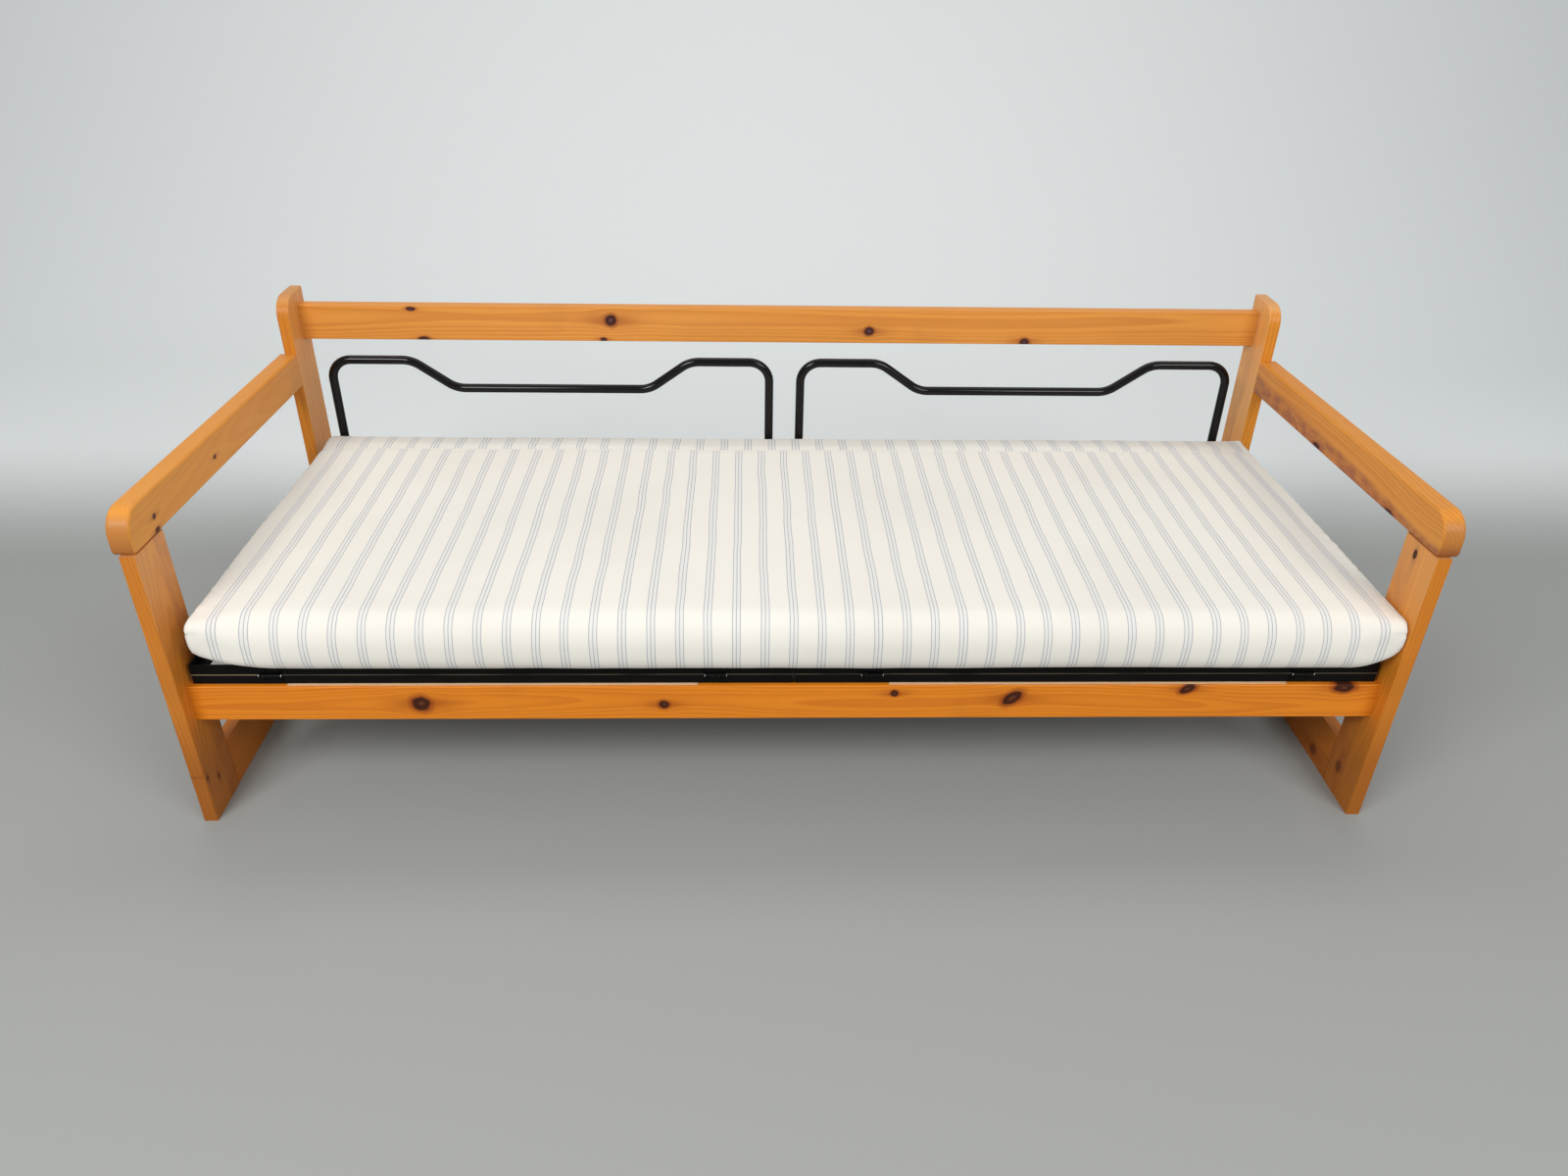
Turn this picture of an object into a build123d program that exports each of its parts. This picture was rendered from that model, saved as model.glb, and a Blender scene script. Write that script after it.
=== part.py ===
"""Pine bench with a fold-out bed: two wire-net frames hinged over two fixed ones.

Millimetres. X runs along the seat, +Y to the back, +Z up, and the origin is on the
floor under the middle of the bench. Left and right are as seen from the front.
"""
from build123d import *
from math import radians, tan
import os

os.makedirs("parts", exist_ok=True)

# --- driving dimensions: side frames ---
inner_length = 2000
side_depth = 852
board = 24
board_width = 97
runner_height = 99
post_height = 688
post_corner = 40
arm_thickness = 36
arm_height = 70
arm_front_top = 599
arm_slope = 1.8
arm_setback = 4
nose_radius = 42
nose_under_radius = 8
arm_edge_round = 6
edge_round = 2

# --- driving dimensions: rails between the side frames ---
rail_thickness = 24
seat_rail_height = 68
back_rail_height = 73
back_rail_drop = 27
front_rail_setback = 28
back_rail_inset = 17

# --- dowels, bolts and barrel nuts in the wood ---
fit = 0.05
dowel_radius = 5
dowel_length = 50
dowel_slack = 1.5
drill_lead = 5
dowel_spacing = 44
arm_end_dowel_spacing = 35.2
rail_dowel_radius = 4
rail_dowel_in_board = 16
rail_dowel_in_rail = 24
rail_dowel_share = 1 / 3
bolt_radius = 4
bolt_length = 64
bolt_head_radius = 8.5
bolt_head_height = 2.5
bolt_key = 5
bolt_key_depth = 1.6
barrel_radius = 7
barrel_length = 18
barrel_inset = 30

# --- folding frames of angle iron ---
hinge_height = 288
frame_gap = 0.6
frame_setback = 35
frame_rear_inset = 82
end_gap = 10
middle_gap = 2
angle_leg = 18
angle_wall = 2.5
tie_width = 25
felt_thickness = 2
felt_width = 20
felt_inner_end = 160
felt_end_inset = 163
soft_gap = 0.3

# --- wire nets and the springs that stretch them ---
spring_radius = 3
spring_length = 30
spring_hook = 8
spring_margin = 70
spring_count_long = 11
spring_count_short = 8
net_wire = 3
net_gap = 0.2
net_count_long = 10
net_count_cross = 13

# --- hinges at the front edge ---
hinge_end_inset = 129.5
hinge_length = 35
hinge_standoff = 4
knuckle_radius = 3.8
knuckle_gap = 0.3
leaf_wall = 2
leaf_height = 15.5
leaf_relief = 4.3
pin_radius = 2
pin_head_radius = 3
pin_head = 0.8
rivet_radius = 2
rivet_height = 9.8
rivet_spacing = 20
rivet_head_radius = 3.5
rivet_head = 1.4

# --- brackets that hold the fixed frames on the rails ---
bracket_spacing = 405
bracket_width = 30
bracket_drop = 45
screw_radius = 2
screw_length = 18
screw_head_radius = 4
screw_head = 2.2
screw_rise = 12

# --- tube hoops: back supports that turn into legs ---
tube_radius = 9
tube_wall = 1.5
hoop_shift = 13
hoop_end_inset = 44.5
hoop_rear_inset = 20
hoop_bend = 42
dip_depth = 60
dip_half_top = 285
dip_half_bottom = 200
dip_bend = 60
floor_gap = 0.6
socket_radius = 12
socket_fit = 0.15
socket_height = 40
lug_width = 20
lug_height = 15
cross_bolt_radius = 3
cross_bolt_height = 27
cross_bolt_head_radius = 5
cross_bolt_head = 4

# --- mattress ---
mattress_end_room = 35
mattress_shift = 17
mattress_front = 1
mattress_rear_room = 4
mattress_thickness = 98
mattress_front_radius = 46
mattress_rear_radius = 9
mattress_end_radius = 7
cover_wall = 1.5

# --- places that follow from these ---
half_inner = inner_length / 2
board_middle = half_inner + board / 2
front_y = -side_depth / 2
rear_y = side_depth / 2
leg_rear_y = front_y + board_width
post_front_y = rear_y - board_width
unit_length = half_inner - end_gap - middle_gap / 2
unit_centre = (middle_gap + unit_length) / 2
frame_front_y = front_y + frame_setback
frame_rear_y = rear_y - frame_rear_inset
frame_depth = frame_rear_y - frame_front_y
frame_middle_y = (frame_front_y + frame_rear_y) / 2
frame_bottom = hinge_height - frame_gap / 2 - angle_leg
seat_rail_top = frame_bottom - soft_gap - felt_thickness
seat_rail_middle = seat_rail_top - seat_rail_height / 2
front_rail_y = front_y + front_rail_setback + rail_thickness / 2
rear_rail_y = frame_rear_y - angle_wall / 2
back_rail_y = rear_y - back_rail_inset - rail_thickness / 2
back_rail_middle = post_height - back_rail_drop - back_rail_height / 2
hinge_y = frame_front_y - hinge_standoff
hinge_spacing = unit_length - 2 * hinge_end_inset
hoop_y = frame_rear_y - hoop_rear_inset
hoop_centre = unit_centre - hoop_shift
hoop_half_width = unit_length / 2 - hoop_end_inset
hoop_top = 2 * hinge_height - floor_gap - tube_radius
felt_outer_end = half_inner - felt_end_inset
mattress_length = inner_length - mattress_end_room
mattress_depth = hoop_y - tube_radius - mattress_rear_room - front_y - mattress_front
net_height = angle_wall + soft_gap + spring_radius
spring_reach = spring_length - spring_hook
net_half_length = unit_length / 2 - angle_leg - spring_reach - net_gap
net_half_depth = frame_depth / 2 - angle_leg - spring_reach - net_gap

sides = {"left": -1, "right": 1}
levels = {"lower": -1, "upper": 1}

bottom_up = (Align.CENTER, Align.CENTER, Align.MIN)


def save(piece, name):
    """Label one finished piece and write its STEP file."""
    piece.part.label = name
    export_step(piece.part, f"parts/{name}.step")


def block(x_ends, y_ends, z_ends, mode=Mode.ADD):
    """A box between pairs of coordinates, given in any order."""
    x0, x1 = sorted(x_ends)
    y0, y1 = sorted(y_ends)
    z0, z1 = sorted(z_ends)
    with Locations(((x0 + x1) / 2, (y0 + y1) / 2, (z0 + z1) / 2)):
        Box(x1 - x0, y1 - y0, z1 - z0, mode=mode)


def rod(start, direction, radius, length, mode=Mode.ADD):
    """A round bar that starts at a point, or the hole for one."""
    with Locations(Plane(origin=start, z_dir=direction)):
        Cylinder(radius, length, align=bottom_up, mode=mode)


def drill(start, direction, radius, depth):
    rod(start, direction, radius, depth, mode=Mode.SUBTRACT)


def arm_top(y):
    return arm_front_top - (y - front_y) * tan(radians(arm_slope))


def arm_bottom(y):
    return arm_top(y) - arm_height


def away(level, distance):
    """Height at a distance from the joint between the two layers of frames."""
    return hinge_height + levels[level] * (frame_gap / 2 + distance)


def unit_x(side, offset):
    """X of a point that lies outward of the middle of a side's folding unit."""
    return sides[side] * (unit_centre + offset)


def spread(count, half_span):
    """Evenly spaced places from -half_span to half_span."""
    return [half_span * (2 * index / (count - 1) - 1) for index in range(count)]


def pair(middle, spacing):
    """Two places, half a spacing to each side of the middle."""
    return [middle - spacing / 2, middle + spacing / 2]


# Where the side frames are dowelled: along the armrest's underside and its rear end,
# and at both ends of the floor runner.
arm_post_middle = arm_bottom(post_front_y) + arm_height / 2
arm_leg_dowels = pair(front_y + board_width / 2, dowel_spacing)
arm_post_dowels = pair(arm_post_middle, arm_end_dowel_spacing)
runner_dowels = pair(runner_height / 2, dowel_spacing)
dowel_hole = dowel_length / 2 + dowel_slack

# Each rail as its middle in Y and Z, and its height.
rails = {
    "front_rail": (front_rail_y, seat_rail_middle, seat_rail_height),
    "rear_seat_rail": (rear_rail_y, seat_rail_middle, seat_rail_height),
    "back_rail": (back_rail_y, back_rail_middle, back_rail_height),
}


# Brackets that hold the fixed frames: the inner face of each seat rail, the way off it,
# and the face of the frame's upright flange.
bracket_seats = {
    "front_rail": (front_rail_y + rail_thickness / 2, 1, frame_front_y + angle_wall),
    "rear_seat_rail": (rear_rail_y - rail_thickness / 2, -1, frame_rear_y - angle_wall),
}
bracket_places = [unit_x(side, step) for side in sides for step in pair(0, bracket_spacing)]
bracket_top = away("lower", angle_wall)
bracket_bottom = bracket_top - bracket_drop
screw_z = bracket_bottom + screw_rise


def rail_dowel_heights(name):
    """Heights of the two dowels at each end of a rail, above and below its bolt."""
    y, z, height = rails[name]
    return pair(z, 2 * height * rail_dowel_share)


def rail_joint_holes(side, rail_names):
    """Bolt and dowel holes through a leg or post, for the rails that meet it."""
    out = sides[side]
    for name in rail_names:
        y, z, height = rails[name]
        drill((out * (half_inner - 1), y, z), (out, 0, 0), bolt_radius + fit, board + 2)
        for dowel_z in rail_dowel_heights(name):
            hole = rail_dowel_in_board + dowel_slack
            drill((out * (half_inner - 1), y, dowel_z), (out, 0, 0), rail_dowel_radius + fit, hole + 1)


# --- side frames ---
for side, out in sides.items():
    inner_face = Plane.YZ.offset(out * half_inner)

    with BuildPart() as front_leg:
        with BuildSketch(inner_face):
            with BuildLine():
                Polyline(
                    (front_y, 0),
                    (leg_rear_y, 0),
                    (leg_rear_y, arm_bottom(leg_rear_y)),
                    (front_y, arm_bottom(front_y)),
                    close=True,
                )
            make_face()
        extrude(amount=out * board)
        fillet(front_leg.edges().filter_by(Axis.Z), edge_round)
        for y in arm_leg_dowels:
            start = (out * board_middle, y, arm_bottom(y) - dowel_hole)
            drill(start, (0, 0, 1), dowel_radius + fit, dowel_hole + drill_lead)
        for z in runner_dowels:
            drill((out * board_middle, leg_rear_y - dowel_hole, z), (0, 1, 0), dowel_radius + fit, dowel_hole)
        rail_joint_holes(side, ["front_rail"])
    save(front_leg, f"{side}_front_leg")

    with BuildPart() as rear_post:
        with BuildSketch(inner_face) as outline:
            with BuildLine():
                Polyline(
                    (post_front_y, 0),
                    (rear_y, 0),
                    (rear_y, post_height),
                    (post_front_y, post_height),
                    close=True,
                )
            make_face()
            fillet(outline.vertices().sort_by_distance((post_front_y, post_height))[0], post_corner)
        extrude(amount=out * board)
        fillet(rear_post.edges().filter_by(Axis.Z), edge_round)
        for z in arm_post_dowels:
            drill((out * board_middle, post_front_y - 1, z), (0, 1, 0), dowel_radius + fit, dowel_hole + 1)
        for z in runner_dowels:
            drill((out * board_middle, post_front_y - 1, z), (0, 1, 0), dowel_radius + fit, dowel_hole + 1)
        rail_joint_holes(side, ["rear_seat_rail", "back_rail"])
    save(rear_post, f"{side}_rear_post")

    with BuildPart() as floor_runner:
        block(
            (out * half_inner, out * (half_inner + board)),
            (leg_rear_y, post_front_y),
            (0, runner_height),
        )
        fillet(floor_runner.edges().filter_by(Axis.Y), edge_round)
        for z in runner_dowels:
            drill((out * board_middle, leg_rear_y, z), (0, 1, 0), dowel_radius + fit, dowel_hole)
            drill((out * board_middle, post_front_y, z), (0, -1, 0), dowel_radius + fit, dowel_hole)
    save(floor_runner, f"{side}_floor_runner")

    with BuildPart() as armrest:
        nose_y = front_y + arm_setback
        with BuildSketch(inner_face) as outline:
            with BuildLine():
                Polyline(
                    (nose_y, arm_bottom(nose_y)),
                    (post_front_y, arm_bottom(post_front_y)),
                    (post_front_y, arm_top(post_front_y)),
                    (nose_y, arm_top(nose_y)),
                    close=True,
                )
            make_face()
            fillet(outline.vertices().sort_by_distance((nose_y, arm_top(nose_y)))[0], nose_radius)
            fillet(outline.vertices().sort_by_distance((nose_y, arm_bottom(nose_y)))[0], nose_under_radius)
        extrude(amount=out * arm_thickness)
        rims = armrest.faces().filter_by(Axis.X).edges()
        fillet(rims.filter_by(lambda edge: edge.center().Y < post_front_y - 1), arm_edge_round)
        for y in arm_leg_dowels:
            start = (out * board_middle, y, arm_bottom(y) - drill_lead)
            drill(start, (0, 0, 1), dowel_radius + fit, dowel_hole + drill_lead)
        for z in arm_post_dowels:
            drill((out * board_middle, post_front_y, z), (0, -1, 0), dowel_radius + fit, dowel_hole)
    save(armrest, f"{side}_armrest")

with BuildPart() as side_frame_dowels:
    for out in sides.values():
        x = out * board_middle
        for y in arm_leg_dowels:
            rod((x, y, arm_bottom(y) - dowel_length / 2), (0, 0, 1), dowel_radius, dowel_length)
        for z in arm_post_dowels:
            rod((x, post_front_y - dowel_length / 2, z), (0, 1, 0), dowel_radius, dowel_length)
        for z in runner_dowels:
            rod((x, leg_rear_y - dowel_length / 2, z), (0, 1, 0), dowel_radius, dowel_length)
            rod((x, post_front_y - dowel_length / 2, z), (0, 1, 0), dowel_radius, dowel_length)
save(side_frame_dowels, "side_frame_dowels")

# --- rails, with a bolt, a barrel nut and two dowels at each end ---
for name, (y, z, height) in rails.items():
    with BuildPart() as rail:
        block(
            (-half_inner, half_inner),
            (y - rail_thickness / 2, y + rail_thickness / 2),
            (z - height / 2, z + height / 2),
        )
        fillet(rail.edges().filter_by(Axis.X), edge_round)
        for out in sides.values():
            bolt_hole = bolt_length - board + dowel_slack
            drill((out * half_inner, y, z), (-out, 0, 0), bolt_radius + fit, bolt_hole)
            barrel_mouth = (out * (half_inner - barrel_inset), y + rail_thickness / 2, z)
            barrel_hole = rail_thickness / 2 + barrel_length / 2
            drill(barrel_mouth, (0, -1, 0), barrel_radius + fit, barrel_hole)
            for dowel_z in rail_dowel_heights(name):
                hole = rail_dowel_in_rail + dowel_slack
                drill((out * half_inner, y, dowel_z), (-out, 0, 0), rail_dowel_radius + fit, hole)
        if name in bracket_seats:
            face_y, inward, flange_y = bracket_seats[name]
            for x in bracket_places:
                drill((x, face_y, screw_z), (0, -inward, 0), screw_radius + fit, screw_length)
    save(rail, name)

with BuildPart() as rail_bolts:
    for out in sides.values():
        for y, z, height in rails.values():
            seat = out * (half_inner + board)
            rod((seat, y, z), (-out, 0, 0), bolt_radius, bolt_length)
            rod((seat, y, z), (out, 0, 0), bolt_head_radius, bolt_head_height)
            with BuildSketch(Plane(origin=(seat + out * bolt_head_height, y, z), z_dir=(out, 0, 0))):
                RegularPolygon(bolt_key / 2, 6, major_radius=False)
            extrude(amount=-bolt_key_depth, mode=Mode.SUBTRACT)
save(rail_bolts, "rail_bolts")

with BuildPart() as barrel_nuts:
    for out in sides.values():
        for y, z, height in rails.values():
            x = out * (half_inner - barrel_inset)
            rod((x, y - barrel_length / 2, z), (0, 1, 0), barrel_radius, barrel_length)
            drill((x - barrel_radius - 1, y, z), (1, 0, 0), bolt_radius + fit, 2 * barrel_radius + 2)
save(barrel_nuts, "barrel_nuts")

with BuildPart() as rail_dowels:
    for out in sides.values():
        for name, (y, z, height) in rails.items():
            for dowel_z in rail_dowel_heights(name):
                start = (out * (half_inner + rail_dowel_in_board), y, dowel_z)
                rod(start, (-out, 0, 0), rail_dowel_radius, rail_dowel_in_board + rail_dowel_in_rail)
save(rail_dowels, "rail_dowels")

# --- felt strips that the fixed frames lie on ---
for name in ("front_rail", "rear_seat_rail"):
    y, z, height = rails[name]
    with BuildPart() as felt_strips:
        for out in sides.values():
            block(
                (out * felt_inner_end, out * felt_outer_end),
                (y - felt_width / 2, y + felt_width / 2),
                (seat_rail_top, seat_rail_top + felt_thickness),
            )
    save(felt_strips, f"{name}_felts")

# --- welded frames, nets and springs: two layers on each side ---
for side in sides:
    x_ends = (unit_x(side, -unit_length / 2), unit_x(side, unit_length / 2))
    for level in levels:
        name = f"{side}_{level}"
        inner_y = (frame_front_y + angle_leg, frame_rear_y - angle_leg)
        flange = (away(level, 0), away(level, angle_wall))

        with BuildPart() as long_angles:
            for edge_y, inward in ((frame_front_y, 1), (frame_rear_y, -1)):
                block(x_ends, (edge_y, edge_y + inward * angle_leg), flange)
                upright = (away(level, 0), away(level, angle_leg))
                block(x_ends, (edge_y, edge_y + inward * angle_wall), upright)
            for hinge_x in pair(0, hinge_spacing):
                for step in pair(0, rivet_spacing):
                    z = hinge_height + levels[level] * rivet_height
                    start = (unit_x(side, hinge_x + step), frame_front_y - 1, z)
                    drill(start, (0, 1, 0), rivet_radius + fit, angle_wall + 2)
        save(long_angles, f"{name}_long_angles")

        with BuildPart() as end_angles:
            for end, inward in ((-unit_length / 2, 1), (unit_length / 2, -1)):
                block((unit_x(side, end), unit_x(side, end + inward * angle_leg)), inner_y, flange)
                block(
                    (unit_x(side, end), unit_x(side, end + inward * angle_wall)),
                    (frame_front_y + angle_wall, frame_rear_y - angle_wall),
                    (away(level, angle_wall), away(level, angle_leg)),
                )
        save(end_angles, f"{name}_end_angles")

        with BuildPart() as tie_bar:
            block((unit_x(side, -tie_width / 2), unit_x(side, tie_width / 2)), inner_y, flange)
        save(tie_bar, f"{name}_tie_bar")

        net_z = away(level, net_height)
        with BuildPart() as wire_net:
            with BuildSketch(Plane(origin=(unit_x(side, 0), frame_middle_y, net_z - net_wire / 2))):
                long_pitch = (2 * net_half_depth - net_wire) / (net_count_long - 1)
                with GridLocations(1, long_pitch, 1, net_count_long):
                    Rectangle(2 * net_half_length, net_wire)
                cross_pitch = (2 * net_half_length - net_wire) / (net_count_cross - 1)
                with GridLocations(cross_pitch, 1, net_count_cross, 1):
                    Rectangle(net_wire, 2 * net_half_depth)
            extrude(amount=net_wire)
        save(wire_net, f"{name}_wire_net")

        with BuildPart() as net_springs:
            for offset in spread(spring_count_long, unit_length / 2 - angle_leg - spring_margin):
                x = unit_x(side, offset)
                rod((x, inner_y[0] - spring_hook, net_z), (0, 1, 0), spring_radius, spring_length)
                rod((x, inner_y[1] + spring_hook, net_z), (0, -1, 0), spring_radius, spring_length)
            for offset in spread(spring_count_short, frame_depth / 2 - angle_leg - spring_margin):
                y = frame_middle_y + offset
                for end, inward in ((-1, 1), (1, -1)):
                    start = unit_x(side, end * (unit_length / 2 - angle_leg + spring_hook))
                    direction = (inward * sides[side], 0, 0)
                    rod((start, y, net_z), direction, spring_radius, spring_length)
        save(net_springs, f"{name}_net_springs")

# --- hinges: outer knuckles on the fixed leaf, the middle one on the folding leaf ---
knuckle = hinge_length / 3
knuckle_spans = {
    "lower": [(-hinge_length / 2, -knuckle / 2 - knuckle_gap), (knuckle / 2 + knuckle_gap, hinge_length / 2)],
    "upper": [(-knuckle / 2, knuckle / 2)],
}
leaf_faces = (frame_front_y - leaf_wall, frame_front_y)

for side in sides:
    hinge_centres = [unit_x(side, offset) for offset in pair(0, hinge_spacing)]
    for level, sign in levels.items():
        rivet_z = hinge_height + sign * rivet_height
        with BuildPart() as hinge_leaves:
            for x in hinge_centres:
                block(
                    (x - hinge_length / 2, x + hinge_length / 2),
                    leaf_faces,
                    (hinge_height + sign * leaf_relief, hinge_height + sign * leaf_height),
                )
                for start, end in knuckle_spans[level]:
                    rod((x + start, hinge_y, hinge_height), (1, 0, 0), knuckle_radius, end - start)
                    root = (hinge_height, hinge_height + sign * leaf_relief)
                    block((x + start, x + end), leaf_faces, root)
                bore_start = (x - hinge_length / 2 - 1, hinge_y, hinge_height)
                drill(bore_start, (1, 0, 0), pin_radius + fit, hinge_length + 2)
                for step in pair(0, rivet_spacing):
                    start = (x + step, leaf_faces[0] - 1, rivet_z)
                    drill(start, (0, 1, 0), rivet_radius + fit, leaf_wall + 2)
        save(hinge_leaves, f"{side}_{level}_hinge_leaves")

        with BuildPart() as hinge_rivets:
            for x in hinge_centres:
                for step in pair(0, rivet_spacing):
                    front = (x + step, leaf_faces[0], rivet_z)
                    back = (x + step, frame_front_y + angle_wall, rivet_z)
                    rod(front, (0, 1, 0), rivet_radius, leaf_wall + angle_wall)
                    rod(front, (0, -1, 0), rivet_head_radius, rivet_head)
                    rod(back, (0, 1, 0), rivet_head_radius, rivet_head)
        save(hinge_rivets, f"{side}_{level}_hinge_rivets")

    with BuildPart() as hinge_pins:
        for x in hinge_centres:
            pin_end = hinge_length / 2 + knuckle_gap
            rod((x - pin_end, hinge_y, hinge_height), (1, 0, 0), pin_radius, 2 * pin_end)
            for end in (-1, 1):
                start = (x + end * pin_end, hinge_y, hinge_height)
                rod(start, (end, 0, 0), pin_head_radius, pin_head)
    save(hinge_pins, f"{side}_hinge_pins")

# --- brackets under the fixed frames, screwed to the inner faces of the seat rails ---
with BuildPart() as rail_brackets:
    for face_y, inward, flange_y in bracket_seats.values():
        outer_y = face_y + inward * angle_wall
        for x in bracket_places:
            span = (x - bracket_width / 2, x + bracket_width / 2)
            block(span, (flange_y, outer_y), (bracket_top - angle_wall, bracket_top))
            block(span, (face_y, outer_y), (bracket_bottom, bracket_top))
            drill((x, outer_y + inward, screw_z), (0, -inward, 0), screw_radius + fit, angle_wall + 2)
save(rail_brackets, "rail_brackets")

with BuildPart() as bracket_screws:
    for face_y, inward, flange_y in bracket_seats.values():
        outer_y = face_y + inward * angle_wall
        for x in bracket_places:
            rod((x, outer_y, screw_z), (0, -inward, 0), screw_radius, screw_length)
            rod((x, outer_y, screw_z), (0, inward, 0), screw_head_radius, screw_head)
save(bracket_screws, "bracket_screws")

# --- hoops in their sockets ---
socket_bottom = away("upper", angle_wall)
cross_bolt_z = socket_bottom + cross_bolt_height

for side, out in sides.items():
    middle = out * hoop_centre
    leg_places = [middle - hoop_half_width, middle + hoop_half_width]

    with BuildPart() as hoop_sockets:
        for x in leg_places:
            rod((x, hoop_y, socket_bottom), (0, 0, 1), socket_radius, socket_height)
            block(
                (x - lug_width / 2, x + lug_width / 2),
                (hoop_y, frame_rear_y - angle_wall),
                (socket_bottom, socket_bottom + lug_height),
            )
            drill((x, hoop_y, socket_bottom - 1), (0, 0, 1), tube_radius + socket_fit, socket_height + 2)
            start = (x - socket_radius - 1, hoop_y, cross_bolt_z)
            drill(start, (1, 0, 0), cross_bolt_radius + fit, 2 * socket_radius + 2)
    save(hoop_sockets, f"{side}_hoop_sockets")

    foot = socket_bottom + soft_gap
    low_top = hoop_top - dip_depth
    with BuildPart() as hoop:
        with BuildLine(Plane.XZ.offset(-hoop_y)) as path:
            FilletPolyline(
                (middle - hoop_half_width, foot),
                (middle - hoop_half_width, hoop_top),
                (middle - dip_half_top, hoop_top),
                (middle - dip_half_bottom, low_top),
                (middle + dip_half_bottom, low_top),
                (middle + dip_half_top, hoop_top),
                (middle + hoop_half_width, hoop_top),
                (middle + hoop_half_width, foot),
                radius=[hoop_bend, dip_bend, dip_bend, dip_bend, dip_bend, hoop_bend],
            )
        with BuildSketch(Plane(origin=(middle - hoop_half_width, hoop_y, foot))):
            Circle(tube_radius)
            Circle(tube_radius - tube_wall, mode=Mode.SUBTRACT)
        sweep(path=path.wires()[0])
        for x in leg_places:
            start = (x - tube_radius - 1, hoop_y, cross_bolt_z)
            drill(start, (1, 0, 0), cross_bolt_radius + fit, 2 * tube_radius + 2)
    save(hoop, f"{side}_hoop")

    with BuildPart() as hoop_bolts:
        for x in leg_places:
            head_face = x + out * socket_radius
            shank = 2 * socket_radius + cross_bolt_head
            rod((head_face, hoop_y, cross_bolt_z), (-out, 0, 0), cross_bolt_radius, shank)
            rod((head_face, hoop_y, cross_bolt_z), (out, 0, 0), cross_bolt_head_radius, cross_bolt_head)
    save(hoop_bolts, f"{side}_hoop_bolts")

    with BuildPart() as hoop_nuts:
        for x in leg_places:
            nut_face = x - out * socket_radius
            with BuildSketch(Plane(origin=(nut_face, hoop_y, cross_bolt_z), z_dir=(-out, 0, 0))):
                RegularPolygon(cross_bolt_head_radius, 6, major_radius=False)
                Circle(cross_bolt_radius + fit, mode=Mode.SUBTRACT)
            extrude(amount=cross_bolt_head)
    save(hoop_nuts, f"{side}_hoop_nuts")


# --- mattress ---
def pad(inset):
    """The mattress's rounded outline, shrunk by an inset on every side."""
    length = mattress_length - 2 * inset
    start_x = mattress_shift - length / 2
    middle_y = front_y + mattress_front + mattress_depth / 2
    bottom = away("upper", angle_leg) + soft_gap
    with BuildPart() as body:
        with BuildSketch(Plane.YZ.offset(start_x)) as outline:
            with Locations((middle_y, bottom + mattress_thickness / 2)):
                Rectangle(mattress_depth - 2 * inset, mattress_thickness - 2 * inset)
            fillet(outline.vertices().group_by(Axis.X)[0], mattress_front_radius - inset)
            fillet(outline.vertices().group_by(Axis.X)[-1], mattress_rear_radius - inset)
        extrude(amount=length)
        fillet(body.faces().filter_by(Axis.X).edges(), mattress_end_radius - inset)
    return body.part


outer_pad = pad(0)
inner_pad = pad(cover_wall)
foam_pad = pad(cover_wall + soft_gap)

with BuildPart() as mattress_cover:
    add(outer_pad)
    add(inner_pad, mode=Mode.SUBTRACT)
save(mattress_cover, "mattress_cover")

with BuildPart() as mattress_foam:
    add(foam_pad)
save(mattress_foam, "mattress_foam")
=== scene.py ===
import math

import bmesh
import bpy
from mathutils import Matrix, Vector, noise


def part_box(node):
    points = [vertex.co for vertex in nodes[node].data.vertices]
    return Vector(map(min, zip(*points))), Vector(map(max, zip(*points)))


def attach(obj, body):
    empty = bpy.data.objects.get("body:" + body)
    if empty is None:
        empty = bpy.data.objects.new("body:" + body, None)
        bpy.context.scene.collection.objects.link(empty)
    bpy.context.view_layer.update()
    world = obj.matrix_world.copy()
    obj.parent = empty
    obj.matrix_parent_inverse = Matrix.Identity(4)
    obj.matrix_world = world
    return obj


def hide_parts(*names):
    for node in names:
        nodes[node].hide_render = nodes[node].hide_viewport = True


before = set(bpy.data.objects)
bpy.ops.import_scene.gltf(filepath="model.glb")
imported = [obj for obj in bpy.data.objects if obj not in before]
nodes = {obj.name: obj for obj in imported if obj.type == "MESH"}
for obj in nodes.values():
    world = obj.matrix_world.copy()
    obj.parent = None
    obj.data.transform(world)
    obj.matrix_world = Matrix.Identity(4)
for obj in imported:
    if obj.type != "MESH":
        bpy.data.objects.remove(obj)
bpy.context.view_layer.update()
sides = ("left", "right")
levels = ("lower", "upper")
print("frame loaded:", len(nodes), "nodes")


class Value:
    # wraps a socket, so that an expression adds its own Math nodes
    def __init__(self, paint, socket):
        self.paint = paint
        self.socket = socket

    def __add__(self, other):
        return self.paint.math("ADD", self, other)

    __radd__ = __add__

    def __sub__(self, other):
        return self.paint.math("SUBTRACT", self, other)

    def __rsub__(self, other):
        return self.paint.math("SUBTRACT", other, self)

    def __mul__(self, other):
        return self.paint.math("MULTIPLY", self, other)

    __rmul__ = __mul__

    def __truediv__(self, other):
        return self.paint.math("DIVIDE", self, other)


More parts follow.
